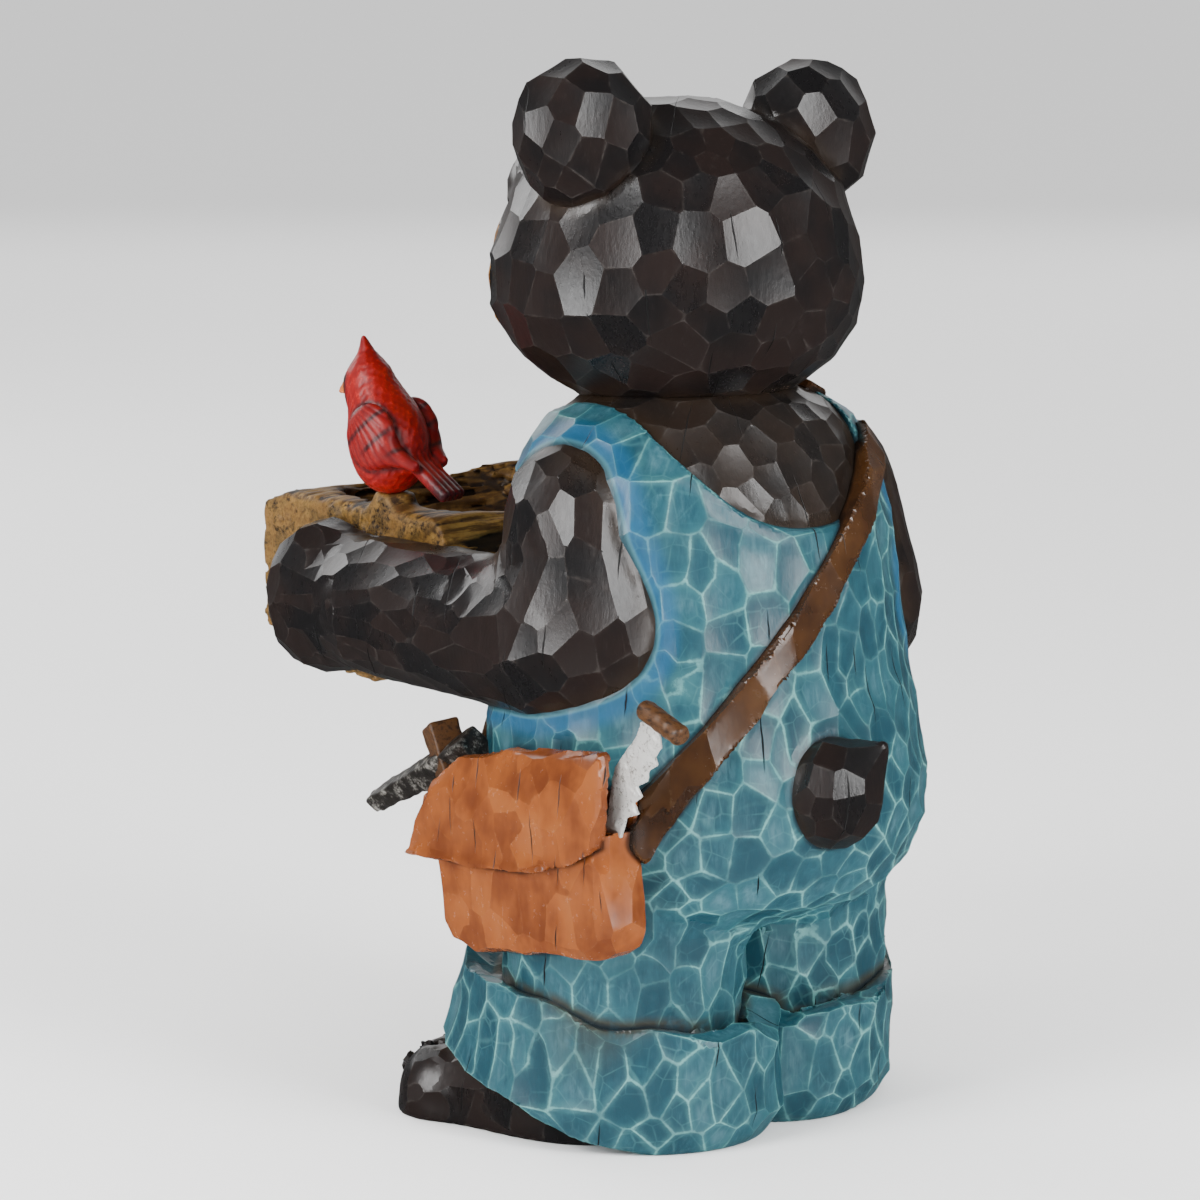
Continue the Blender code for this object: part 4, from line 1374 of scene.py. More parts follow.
@dataclass
class BirdForm:
    """The perched cardinal: plump body, crest, beak, folded wings and a flat tail."""

    perch: Triple = PERCH
    heading: Pair = (0.227, -0.974)
    body: Ball = Ball((0, 0, 25), (19, 20, 24))
    back: Ball = Ball((0, 5, 37), (15.5, 15, 20))
    head: Ball = Ball((0, 13, 53), (11.5, 13, 14))
    crest: Rod = Rod((0, 12, 60), (0, 16, 76), 8.5, 1.5)
    beak: Rod = Rod((0, 24, 52), (0, 31, 49), 5, 1.2)
    wing: Ball = Ball((16.5, -2, 31), (6.5, 14.5, 16))
    wing_tip: Rod = Rod((16, -10, 24), (11, -24, 18), 6, 3)
    tail_middle: Triple = (0, -25, 13)
    tail_half: Triple = (8.5, 18, 3.2)

    def local(self, p: Numbers) -> Numbers:
        """The places from the bird's own point of view: aside, ahead and up."""
        q = p - np.array(self.perch)
        ahead = q[:, :2] @ np.array(self.heading)
        aside = q[:, :2] @ np.array((-self.heading[1], self.heading[0]))
        return np.column_stack([aside, ahead, q[:, 2]])

    def tail(self, q: Numbers) -> Numbers:
        """Distances to the flat tail."""
        run = np.array((0, -30, -22)) / math.hypot(30, 22)
        turn = ((1, 0, 0), tuple(run), tuple(np.cross((1, 0, 0), run)))
        return Block(self.tail_middle, self.tail_half, 2.4, turn).distance(q)

    def wings(self, m: Numbers) -> Numbers:
        """Distances to one folded wing."""
        return blend(self.wing.distance(m), self.wing_tip.distance(m), 6)

    def feathers(self, q: Numbers) -> Numbers:
        """How deep the feather lines are: long ones on the wings and tail, short tufts elsewhere.

        Args:
            q: places from the bird's point of view.

        Returns:
            Depths between 0 and 1.
        """
        m = mirrored(q)
        fan = np.arctan2(q[:, 2] - 46, q[:, 1] - 12)
        wing = np.abs(np.sin(fan * 15 + 0.25 * q[:, 1])) ** 0.7
        tail = np.abs(np.sin(q[:, 0] * math.pi / 4.2 + 0.5)) ** 0.7
        tuft = 0.5 + 0.5 * ripple(q * (1, 1, 0.45), 2.6, 12)
        depth = np.where(self.wings(m) < 1.2, 1 - wing, 0.6 * np.clip(0.8 - tuft, 0, 1))
        return np.where(self.tail(q) < 1.5, 1 - tail, depth)

    def solid(self, p: Numbers) -> Numbers:
        """Distances to the bird with its feather lines.

        Args:
            p: places, one in each row.

        Returns:
            One distance for each place.
        """
        q = self.local(p)
        m = mirrored(q)
        whole = blend(self.body.distance(q), self.back.distance(q), 8)
        whole = blend(whole, self.head.distance(q), 8)
        whole = blend(whole, self.crest.distance(q), 5)
        whole = blend(whole, self.beak.distance(q), 1.5)
        whole = blend(whole, self.wings(m), 1.0)
        whole = blend(whole, self.tail(q), 4)
        return whole + 0.6 * self.feathers(q)


@dataclass
class Cardinal:
    """The red bird on the log."""

    form: BirdForm
    pitch: float = 0.75

    def build(self) -> list[bpy.types.Object]:
        """Carves the bird and makes its mesh.

        Returns:
            The object with its paint.
        """
        points, quads = Sculptor(self.pitch).found(self.form.solid)
        q = self.form.local(points)
        wing = self.form.wings(mirrored(q))
        bands = np.abs(np.sin((q[:, 2] + 0.9 * q[:, 1]) * math.pi / 13 + 0.9))
        on_wing = 1 - smooth(wing, 0.3, 1.8)
        values = {
            "feather": self.form.feathers(q),
            "wing_rim": 1 - smooth(np.abs(wing - 1.2), 0.2, 2.0),
            "wing_band": on_wing * (1 - smooth(bands, 0.1, 0.6)) * smooth(q[:, 2], 20, 26),
            "tail_dark": smooth(-q[:, 1], 27, 36),
            "mask": smooth(q[:, 1], 17, 22) * (1 - smooth(np.abs(q[:, 2] - 51), 6, 9)),
            "beak": (self.form.beak.distance(q) < 1.0).astype(float),
        }
        mesh = Mesh(points, triangles_of(points, quads), values, {})
        piece = mesh.make("cardinal_carving", [dressed(BirdFinish())])
        settle(piece, math.radians(70))
        return [piece]


@dataclass(frozen=True)
class Bar:
    """A squared bar with round edges that tapers evenly, turned about its own run."""

    start: Triple
    end: Triple
    start_half: float
    end_half: float
    corner: float
    turn: float = 0.0

    def distance(self, p: Numbers) -> Numbers:
        """Distances to it.

        Args:
            p: places, one in each row.

        Returns:
            One distance for each place, below nothing inside.
        """
        a, run = np.array(self.start, float), np.array(self.end, float) - np.array(self.start, float)
        long = float(np.linalg.norm(run))
        run = run / long
        side = np.cross(run, (1.0, 0, 0))
        side /= np.linalg.norm(side)
        top = np.cross(run, side)
        sin, cos = math.sin(self.turn), math.cos(self.turn)
        q = p - a
        along = q @ run
        half = self.start_half + np.clip(along / long, 0, 1) * (self.end_half - self.start_half) - self.corner
        u = np.abs(q @ (side * cos + top * sin)) - half
        v = np.abs(q @ (top * cos - side * sin)) - half
        w = np.maximum(-along, along - long) + self.corner
        outside = np.maximum(np.column_stack([u, v, w]), 0)
        return np.sqrt((outside**2).sum(1)) + np.minimum(np.maximum(np.maximum(u, v), w), 0) - self.corner


@dataclass
class ToolForms:
    """The saw and the hammer, which stand in one upright plane in the satchel's mouth."""

    plane: float = 106
    blade: Panel = Panel(
        (
            (88, 214), (84, 206), (69.5, 190), (67, 179), (65, 168), (61, 160), (74, 158), (78, 168),
            (86.5, 171), (82.5, 175.5), (89, 179.5), (85.5, 184), (92.8, 187), (93, 192), (99.5, 195.5),
            (97, 199), (101.5, 203.5), (101, 209), (99, 214),
        )
    )
    blade_half: float = 1.5
    grip: Rod = Rod((106, 91.7, 219.2), (106, 113, 211.7), 4.9, 4.9)
    grip_half: float = 14.6
    hammer_head: Bar = Bar((106, -110, 144.5), (106, -31, 184.5), 4.4, 7.6, 1.2, 0.6)
    hammer_shaft: Bar = Bar((106, -59, 191), (106, -36, 146), 7.6, 7.2, 1.6, 0.35)

    def saw_blade(self, p: Numbers) -> Numbers:
        """Distances to the saw's blade, which thins towards its teeth."""
        flat = p[:, 1:]
        edge = self.blade.distance(flat, (1, 1))
        dent = 0.28 * ripple(p, 7, 31) + 0.16 * ripple(p, 3, 32)
        off = np.abs(p[:, 0] - self.plane) - self.blade_half * (0.55 + 0.45 * smooth(-edge, 0, 4))
        return carve(edge, -(off + dent), 0.7)

    def saw_grip(self, p: Numbers) -> Numbers:
        """Distances to the round bar across the saw's top, with flat ends."""
        a, b = np.array(self.grip.start), np.array(self.grip.end)
        run = (b - a) / np.linalg.norm(b - a)
        ends = np.abs((p - (a + b) / 2) @ run) - self.grip_half
        return carve(self.grip.distance(p), -ends, 1.2) + 0.12 * ripple(p, 5, 33)

    def head(self, p: Numbers) -> Numbers:
        """Distances to the hammer's head, worn uneven."""
        return self.hammer_head.distance(p) + 0.35 * ripple(p, 12, 34) + 0.12 * ripple(p, 4, 35)

    def shaft(self, p: Numbers) -> Numbers:
        """Distances to the hammer's handle, whose top stands out above the head."""
        return self.hammer_shaft.distance(p) + 0.2 * ripple(p, 9, 36)


@dataclass
class Tools:
    """One tool of two bodies, each with its own paint."""

    parts: tuple[tuple[str, Field, object], ...]
    pitch: float = 0.7

    def build(self) -> list[bpy.types.Object]:
        """Carves both bodies of the tool.

        Returns:
            The objects with their paints.
        """
        made = []
        for name, field, finish in self.parts:
            points, quads = Sculptor(self.pitch).found(field)
            piece = Mesh(points, triangles_of(points, quads), {}, {}).make(name, [dressed(finish)])
            settle(piece, math.radians(40))
            made.append(piece)
        return made


Amount = Union["Value", float]


class Value:
    """One output in a shader, so that arithmetic on it adds Math nodes."""

    def __init__(self, paint: "Paint", socket: bpy.types.NodeSocket) -> None:
        """Keeps the paint that the output belongs to, and the output."""
        self.paint = paint
        self.socket = socket

    def math(self, operation: str, *others: Amount) -> "Value":
        """Adds a Math node.

        Args:
            operation: the node's operation.
            others: what follows this value in it.

        Returns:
            The node's output.
        """
        node = self.paint.node("ShaderNodeMath", {"operation": operation}, dict(enumerate((self, *others))))
        return Value(self.paint, node.outputs[0])

    def reflected(self, operation: str, other: float) -> "Value":
        """Adds a Math node with this value in second place."""
        node = self.paint.node("ShaderNodeMath", {"operation": operation}, {0: other, 1: self})
        return Value(self.paint, node.outputs[0])

    def __add__(self, other: Amount) -> "Value":
        """This value plus another."""
        return self.math("ADD", other)

    __radd__ = __add__

    def __sub__(self, other: Amount) -> "Value":
        """This value less another."""
        return self.math("SUBTRACT", other)

    def __rsub__(self, other: float) -> "Value":
        """Another value less this one."""
        return self.reflected("SUBTRACT", other)

    def __mul__(self, other: Amount) -> "Value":
        """This value times another."""
        return self.math("MULTIPLY", other)

    __rmul__ = __mul__

    def __truediv__(self, other: Amount) -> "Value":
        """This value divided by another."""
        return self.math("DIVIDE", other)

    def __abs__(self) -> "Value":
        """This value without its sign."""
        return self.math("ABSOLUTE")

    def rise(self, low: float, high: float) -> "Value":
        """A smooth step from 0 at low to 1 at high, or the other way round."""
        settings = {"interpolation_type": "SMOOTHSTEP"}
        sockets = {"Value": self, "From Min": min(low, high), "From Max": max(low, high)}
        sockets |= {"To Min": float(low > high), "To Max": float(low < high)}
        return Value(self.paint, self.paint.node("ShaderNodeMapRange", settings, sockets).outputs["Result"])


class Paint:
    """A material under way: a Principled shader and the nodes that feed it."""

    def __init__(self, name: str, **constants: Union[float, tuple[float, ...]]) -> None:
        """Starts the material and sets the sockets that are the same all over.

        Args:
            name: the material's name.
            constants: values by socket name, with _ for a space.
        """
        self.material = bpy.data.materials.new(name)
        self.material.use_nodes = True
        self.tree = self.material.node_tree
        self.shader = self.tree.nodes["Principled BSDF"]
        for key, value in constants.items():
            self.shader.inputs[key.replace("_", " ").title().replace("Ior", "IOR")].default_value = value

    def node(self, kind: str, settings: dict, sockets: dict) -> bpy.types.Node:
        """Adds a node.

        Args:
            kind: the node's type.
            settings: its own settings, which are set first.
            sockets: a value or a link for each input, by name or number.

        Returns:
            The node.
        """
        node = self.tree.nodes.new(kind)
        for key, value in settings.items():
            setattr(node, key, value)
        for key, value in sockets.items():
            if isinstance(value, Value):
                self.tree.links.new(value.socket, node.inputs[key])
            elif isinstance(value, tuple) and len(value) == 3 and node.inputs[key].type == "RGBA":
                node.inputs[key].default_value = (*value, 1)
            else:
                node.inputs[key].default_value = value
        return node

    def number(self, name: str, output: str = "Fac") -> Value:
        """The value that the mesh holds under this name."""
        settings = {"attribute_type": "GEOMETRY", "attribute_name": name}
        return Value(self, self.node("ShaderNodeAttribute", settings, {}).outputs[output])

    def place(self) -> Value:
        """Places on the piece in metres."""
        return Value(self, self.node("ShaderNodeTexCoord", {}, {}).outputs["Object"])

    def stretched(self, source: Value, scale: Triple) -> Value:
        """Places multiplied by a number for each axis."""
        settings = {"operation": "MULTIPLY"}
        return Value(self, self.node("ShaderNodeVectorMath", settings, {0: source, 1: scale}).outputs[0])

    def noise(self, source: Value, size: float, detail: float = 3.0, rough: float = 0.55) -> Value:
        """Noise whose blotches are about this many millimetres wide.

        Args:
            source: the places.
            size: the width of a blotch in millimetres.
            detail: how many finer layers it has.
            rough: how strong they are.

        Returns:
            Values about 0.5.
        """
        sockets = {"Vector": source, "Scale": 1 / (size * MILLIMETRE), "Detail": detail, "Roughness": rough}
        return Value(self, self.node("ShaderNodeTexNoise", {}, sockets).outputs["Fac"])

    def mix(self, share: Amount, a: Union[Value, Triple], b: Union[Value, Triple]) -> Value:
        """A colour between two.

        Args:
            share: how much there is of the second.
            a: the first colour.
            b: the second colour.

        Returns:
            The mixed colour.
        """
        settings = {"data_type": "RGBA", "clamp_factor": True}
        node = self.node("ShaderNodeMix", settings, {0: share, 6: a, 7: b})
        return Value(self, node.outputs[2])

    def cracks(self, wide: float, tall: float, width: float, length: float, share: float) -> Value:
        """Short upright drying cracks, pointed at both ends.

        Args:
            wide: how far apart they are across.
            tall: how far apart they are upwards.
            width: half of a crack's width.
            length: half of its length.
            share: how many of the places for one have one.

        Returns:
            1 in a crack and 0 elsewhere.
        """
        scaled = self.stretched(self.number("grain", "Vector"), (1 / wide, 1 / tall, 0.0))
        settings = {"voronoi_dimensions": "2D", "feature": "F1"}
        sockets = {"Vector": scaled, "Scale": 1.0, "Randomness": 0.75}
        cells = self.node("ShaderNodeTexVoronoi", settings, sockets)
        seed = Value(self, cells.outputs["Position"])
        off = self.node("ShaderNodeVectorMath", {"operation": "SUBTRACT"}, {0: scaled, 1: seed})
        parts = self.node("ShaderNodeSeparateXYZ", {}, {0: Value(self, off.outputs[0])})
        luck = self.node("ShaderNodeSeparateColor", {}, {0: Value(self, cells.outputs["Color"])})
        across, up = (Value(self, parts.outputs[k]) for k in (0, 1))
        chance, reach, lean = (Value(self, luck.outputs[k]) for k in range(3))
        wobble = self.noise(self.place(), 9, 2) - 0.5
        across = across * wide + wobble * 1.6 + (lean - 0.5) * up * (0.25 * tall)
        along = up * tall / (reach * length + 0.5 * length)
        body = (1 - along * along) * width - abs(across)
        return body.rise(-0.1, 0.22) * chance.rise(share + 0.01, share - 0.01) * self.number("room")

    def finish(self, colour: Value, roughness: Value, height: Value, depth: float) -> bpy.types.Material:
        """Connects what changes over the surface.

        Args:
            colour: the base colour.
            roughness: the roughness.
            height: the relief, between 0 and 1.
            depth: how deep the relief is in millimetres.

        Returns:
            The material.
        """
        bump = self.node("ShaderNodeBump", {}, {"Height": height, "Distance": depth * MILLIMETRE})
        links = {"Base Color": colour.socket, "Roughness": roughness.socket, "Normal": bump.outputs[0]}
        for name, socket in links.items():
            self.tree.links.new(socket, self.shader.inputs[name])
        return self.material


@dataclass(frozen=True)
class FurFinish:
    """Black-brown fur with brown patches, worn grey on its ridges, in a gloss varnish."""

    name: str = "fur_paint"
    dark: Triple = (0.0058, 0.0052, 0.0058)
    brown: Triple = (0.0150, 0.0085, 0.0072)
    rub: float = 0.05
    worn: Triple = (0.070, 0.060, 0.054)
    dust: Triple = (0.030, 0.018, 0.010)
    crack: Triple = (0.0015, 0.0015, 0.0015)

    def dress(self) -> bpy.types.Material:
        """Makes the material.

        Returns:
            The finished material.
        """
        paint = Paint(self.name, specular_ior_level=0.55)
        place, cell, ridge = paint.place(), paint.number("cell"), paint.number("ridge")
        patch = paint.noise(place, 34, 3)
        fine = paint.noise(place, 5, 4, 0.65)
        scuffs = paint.noise(paint.stretched(place, (1.0, 1.0, 0.25)), 2.2, 4, 0.7)
        colour = paint.mix((patch + cell * 0.35).rise(0.45, 0.85), self.dark, self.brown)
        worn = scuffs.rise(0.55, 0.75) * (cell * 0.12 + self.rub)
        rub = ridge.rise(1.0, 0.1) * fine.rise(0.42, 0.66) * (cell * 0.25 + self.rub * 4)
        colour = paint.mix(worn + rub, colour, self.worn)
        grime = paint.number("gap").rise(8, 0) * patch.rise(0.3, 0.6) * 0.7
        colour = paint.mix(grime, colour, self.dust)
        crack = paint.cracks(34, 46, 0.45, 11, 0.5)
        colour = paint.mix(crack, colour, self.crack)
        rough = 0.20 + cell * 0.06 + scuffs * 0.16 + crack * 0.4
        height = fine * 0.2 + scuffs * 0.2 - crack
        return paint.finish(colour, rough, height, 0.45)


@dataclass(frozen=True)
class DenimFinish:
    """Teal-blue overalls with pale turquoise lines rubbed along the ridges of the carving."""

    deep: Triple = (0.010, 0.058, 0.084)
    mid: Triple = (0.022, 0.104, 0.134)
    pale: Triple = (0.105, 0.235, 0.275)
    line: Triple = (0.160, 0.430, 0.415)
    rim: Triple = (0.012, 0.105, 0.235)
    dirt: Triple = (0.050, 0.036, 0.016)
    shadow: Triple = (0.006, 0.018, 0.028)
    crack: Triple = (0.002, 0.003, 0.004)

    def dress(self) -> bpy.types.Material:
        """Makes the material.

        Returns:
            The finished material.
        """
        paint = Paint("denim_paint", specular_ior_level=0.5)
        place, cell, ridge = paint.place(), paint.number("cell"), paint.number("ridge")
        cloud, blotch = paint.noise(place, 55, 3), paint.noise(place, 13, 4, 0.6)
        fine = paint.noise(place, 2.6, 4, 0.7)
        grain = paint.noise(paint.stretched(place, (1.0, 1.0, 0.22)), 2.6, 3, 0.65)
        colour = paint.mix((blotch * 0.7 + cell * 0.35 + grain * 0.25).rise(0.42, 0.9), self.deep, self.mid)
        centre = ridge.rise(1.0, 7.0) * (grain * 0.7 + cell * 0.4 + cloud * 0.5).rise(0.72, 1.15)
        colour = paint.mix(centre * 0.55, colour, self.pale)
        wobble = (fine - 0.5) * 1.3 + (blotch - 0.5) * 1.2
        line = (ridge + wobble).rise(0.8, 0.05)
        haze = (ridge + wobble * 1.5).rise(3.4, 0.3) * 0.2
        broken = (paint.noise(place, 20, 3) * 0.8 + cloud * 0.4).rise(0.46, 0.72)
        strength = (line * 0.66 + haze) * (broken * 0.85 + 0.15)
        hair = self.hairlines(paint, place, blotch) * broken * 0.14
        colour = paint.mix(strength + hair, colour, self.line)
        rim = paint.number("armhole").rise(11, 5) * (blotch * 0.6 + 0.35)
        colour = paint.mix(rim, colour, self.rim)
        colour = paint.mix(paint.number("armhole").rise(2.4, 1.0) * 0.35, colour, self.line)
        dirt = paint.number("cuff_gap").rise(6.5, 0.5) * (blotch * 1.2).rise(0.3, 0.6)
        colour = paint.mix(dirt * 0.85, colour, self.dirt)
        shade = paint.number("gap").rise(2.0, 0.1)
        colour = paint.mix(shade * 0.8, colour, self.shadow)
        crack = paint.cracks(31, 44, 0.42, 11, 0.5)
        colour = paint.mix(crack, colour, self.crack)
        rough = 0.27 + fine * 0.18 + crack * 0.4 + line * 0.06
        return paint.finish(colour, rough, grain * 0.3 + blotch * 0.15 + line * 0.1 - crack, 0.5)

    def hairlines(self, paint: Paint, place: Value, bend: Value) -> Value:
        """Fine pale lines between the ridges, as dry paint breaks up.

        Args:
            paint: the material under way.
            place: places on the piece.
            bend: noise that bends the lines.

        Returns:
            1 on a line and 0 elsewhere.
        """
        sockets = {"Vector": place, "Scale": 95.0, "Randomness": 1.0}
        cells = paint.node("ShaderNodeTexVoronoi", {"feature": "DISTANCE_TO_EDGE"}, sockets)
        edge = Value(paint, cells.outputs["Distance"])
        return (edge + (bend - 0.5) * 0.12).rise(0.055, 0.0)


@dataclass(frozen=True)
class LeatherFinish:
    """Brown varnished leather, paler where it is rubbed, with painted shade where it meets other parts."""

    name: str
    base: Triple
    deep: Triple
    rubbed: Triple
    crack_share: float = 0.6
    painted_shade: Triple = (0.006, 0.004, 0.003)
    crack: Triple = (0.003, 0.002, 0.0015)

    def dress(self) -> bpy.types.Material:
        """Makes the material.

        Returns:
            The finished material.
        """
        paint = Paint(self.name, specular_ior_level=0.6)
        place, cell, ridge = paint.place(), paint.number("cell"), paint.number("ridge")
        cloud, fine = paint.noise(place, 24, 3), paint.noise(place, 3.5, 4, 0.65)
        grain = paint.noise(paint.stretched(place, (1.0, 1.0, 0.3)), 4, 3)
        colour = paint.mix((cloud * 0.9 + cell * 0.2 + grain * 0.2).rise(0.42, 0.82), self.deep, self.base)
        rubbed = ridge.rise(0.9, 0.1) * fine.rise(0.45, 0.7) * 0.25
        rubbed += (cell * 0.5 + cloud).rise(0.9, 1.2) * 0.2
        colour = paint.mix(rubbed, colour, self.rubbed)
        # Painted shade: the leather is darkened within a few millimetres of the parts it meets.
        shade = paint.number("gap").rise(2.4, 0.1) * 0.85
        colour = paint.mix(shade, colour, self.painted_shade)
        crack = paint.cracks(15, 30, 0.42, 8, self.crack_share)
        colour = paint.mix(crack, colour, self.crack)
        rough = 0.17 + fine * 0.12 + cloud * 0.05 + crack * 0.4
        return paint.finish(colour, rough, fine * 0.2 + grain * 0.3 - crack, 0.16)


@dataclass(frozen=True)
class MuzzleFinish:
    """Golden tan paint on the muzzle, over the eyes and inside the ears."""

    base: Triple = (0.46, 0.225, 0.040)
    deep: Triple = (0.22, 0.085, 0.016)
    rubbed: Triple = (0.75, 0.45, 0.15)
    crack: Triple = (0.012, 0.008, 0.004)

    def dress(self) -> bpy.types.Material:
        """Makes the material.

        Returns:
            The finished material.
        """
        paint = Paint("muzzle_paint", specular_ior_level=0.5)
        place, cell, ridge = paint.place(), paint.number("cell"), paint.number("ridge")
        cloud = paint.noise(place, 16, 4, 0.6)
        fine = paint.noise(place, 3, 4, 0.65)
        colour = paint.mix((cloud * 0.7 + cell * 0.4).rise(0.3, 0.7), self.deep, self.base)
        colour = paint.mix(ridge.rise(0.8, 0.1) * 0.12, colour, self.rubbed)
        crack = paint.cracks(24, 34, 0.38, 8, 0.35)
        colour = paint.mix(crack, colour, self.crack)
        return paint.finish(colour, 0.24 + fine * 0.15, fine * 0.3 - crack, 0.4)


@dataclass(frozen=True)
class GlossFinish:
    """Smooth gloss black, for the nose and the eyes."""

    name: str
    base: Triple
    gloss: float
    dust: Triple = (0.02, 0.018, 0.018)

    def dress(self) -> bpy.types.Material:
        """Makes the material.

        Returns:
            The finished material.
        """
        paint = Paint(self.name, specular_ior_level=0.6)
        fine = paint.noise(paint.place(), 2.5, 3)
        colour = paint.mix(fine.rise(0.45, 0.75) * 0.5, self.base, self.dust)
        return paint.finish(colour, fine * 0.1 + self.gloss, fine, 0.08)


@dataclass(frozen=True)
class LogFinish:
    """Golden tan wood with dark grooves, darker inside the bowl."""

    tan: Triple = (0.220, 0.112, 0.026)
    gold: Triple = (0.390, 0.225, 0.055)
    brown: Triple = (0.070, 0.032, 0.010)
    dark: Triple = (0.014, 0.007, 0.004)

    def dress(self) -> bpy.types.Material:
        """Makes the material.

        Returns:
            The finished material.
        """
        paint = Paint("log_paint", specular_ior_level=0.35)
        place = paint.place()
        along = paint.stretched(place, (0.12, 1.0, 1.0))
        cloud, blotch = paint.noise(place, 30, 3), paint.noise(place, 8, 4, 0.65)
        streak, fine = paint.noise(along, 3.0, 4, 0.65), paint.noise(place, 1.6, 4, 0.7)
        colour = paint.mix((cloud * 0.5 + blotch * 0.6).rise(0.4, 0.7), self.tan, self.gold)
        sides = 1 - paint.number("end")
        colour = paint.mix(streak.rise(0.44, 0.60) * sides * 0.85, colour, self.brown)
        # Painted shade: blotchy brown darkens the inside of the bowl.
        inside = paint.number("hollow")
        colour = paint.mix(inside * (blotch * 1.2).rise(0.35, 0.7) * 0.85, colour, self.brown)
        groove = paint.number("groove")
        colour = paint.mix(groove.rise(0.25, 0.75) * sides * 0.95, colour, self.dark)
        specks = paint.number("end") * (blotch.rise(0.42, 0.58) * 0.8 + fine.rise(0.46, 0.62) * 0.5)
        colour = paint.mix(specks * 0.8, colour, self.dark)
        rough = 0.46 + fine * 0.2
        return paint.finish(colour, rough, fine * 0.5 + streak * 0.5, 0.5)


@dataclass(frozen=True)
class BirdFinish:
    """Bright red feathers, brushed dark round the wings and at the tip of the tail."""

    red: Triple = (0.31, 0.005, 0.004)
    deep: Triple = (0.20, 0.004, 0.006)
    light: Triple = (0.66, 0.030, 0.020)
    dark: Triple = (0.022, 0.007, 0.010)
    mask: Triple = (0.010, 0.008, 0.008)
    beak: Triple = (0.62, 0.16, 0.03)

    def dress(self) -> bpy.types.Material:
        """Makes the material.

        Returns:
            The finished material.
        """
        paint = Paint("bird_paint", specular_ior_level=0.45)
        place, feather = paint.place(), paint.number("feather")
        blotch, fine = paint.noise(place, 6, 3), paint.noise(place, 1.2, 4, 0.7)
        colour = paint.mix((feather * 0.8 + blotch * 0.5).rise(0.3, 0.95), self.red, self.deep)
        colour = paint.mix((1 - feather).rise(0.8, 1.0) * fine.rise(0.45, 0.65) * 0.6, colour, self.light)
        brushed = (fine * 0.6 + blotch * 0.6).rise(0.4, 0.7)
        rim = paint.number("wing_rim") * (brushed * 0.6 + 0.4)
        colour = paint.mix(rim * 0.8, colour, self.dark)
        colour = paint.mix(paint.number("wing_band") * (brushed * 0.5 + 0.4), colour, self.dark)
        colour = paint.mix(paint.number("tail_dark") * (brushed * 0.4 + 0.5), colour, self.dark)
        colour = paint.mix(paint.number("mask"), colour, self.mask)
        colour = paint.mix(paint.number("beak"), colour, self.beak)
        return paint.finish(colour, 0.34 + fine * 0.16, fine * 0.4, 0.2)


@dataclass(frozen=True)
class SawFinish:
    """Silver paint, mottled and speckled dark."""

    silver: Triple = (0.78, 0.77, 0.74)
    shade: Triple = (0.26, 0.24, 0.21)
    speck: Triple = (0.03, 0.025, 0.02)

    def dress(self) -> bpy.types.Material:
        """Makes the material.

        Returns:
            The finished material.
        """
        paint = Paint("saw_silver_paint", metallic=0.35, specular_ior_level=0.5)
        place = paint.place()
        blotch, fine = paint.noise(place, 4, 4, 0.7), paint.noise(place, 1.1, 4, 0.7)
        colour = paint.mix((blotch * 0.6 + fine * 0.5).rise(0.56, 0.7), self.silver, self.shade)
        colour = paint.mix(fine.rise(0.64, 0.72), colour, self.speck)
        return paint.finish(colour, 0.32 + fine * 0.2, blotch * 0.6 + fine * 0.4, 0.35)


@dataclass(frozen=True)
class HammerFinish:
    """Dark steel paint with bright worn streaks."""

    dark: Triple = (0.030, 0.026, 0.023)
    bright: Triple = (0.42, 0.40, 0.36)

    def dress(self) -> bpy.types.Material:
        """Makes the material.

        Returns:
            The finished material.
        """
        paint = Paint("hammer_steel_paint", metallic=0.45, specular_ior_level=0.5)
        place = paint.place()
        blotch, fine = paint.noise(place, 7, 4, 0.65), paint.noise(place, 1.4, 4, 0.7)
        colour = paint.mix((blotch * 0.7 + fine * 0.45).rise(0.56, 0.76), self.dark, self.bright)
        return paint.finish(colour, 0.30 + fine * 0.22, blotch * 0.6 + fine * 0.4, 0.4)


@dataclass(frozen=True)
class GripFinish:
    """Brown wood paint with fine dark streaks, for the tools' handles."""

    base: Triple = (0.105, 0.044, 0.014)
    deep: Triple = (0.028, 0.012, 0.006)

    def dress(self) -> bpy.types.Material:
        """Makes the material.

        Returns:
            The finished material.
        """
        paint = Paint("grip_brown_paint", specular_ior_level=0.5)
        place = paint.place()
        streak = paint.noise(paint.stretched(place, (1.0, 0.3, 1.0)), 1.6, 4, 0.65)
        fine = paint.noise(place, 1.2, 3)
        colour = paint.mix(streak.rise(0.45, 0.68), self.base, self.deep)
        return paint.finish(colour, 0.36 + fine * 0.15, streak * 0.7 + fine * 0.3, 0.3)


NAPE_FUR = FurFinish("nape_paint", (0.012, 0.010, 0.0095), (0.024, 0.016, 0.012), 0.10)
SATCHEL_LEATHER = LeatherFinish(
    "satchel_paint", base=(0.315, 0.086, 0.019), deep=(0.150, 0.036, 0.009), rubbed=(0.48, 0.20, 0.07)
)
STRAP_LEATHER = LeatherFinish(
    "strap_paint", (0.068, 0.027, 0.008), (0.030, 0.012, 0.005), (0.20, 0.11, 0.05), crack_share=0.25
)
NOSE_GLOSS = GlossFinish("nose_paint", (0.006, 0.005, 0.005), 0.16)
EYE_GLOSS = GlossFinish("eye_paint", (0.004, 0.004, 0.004), 0.06)


@cache
def dressed(finish: object) -> bpy.types.Material:
    """The material of a finish, made once and shared by the pieces that wear it."""
    return finish.dress()


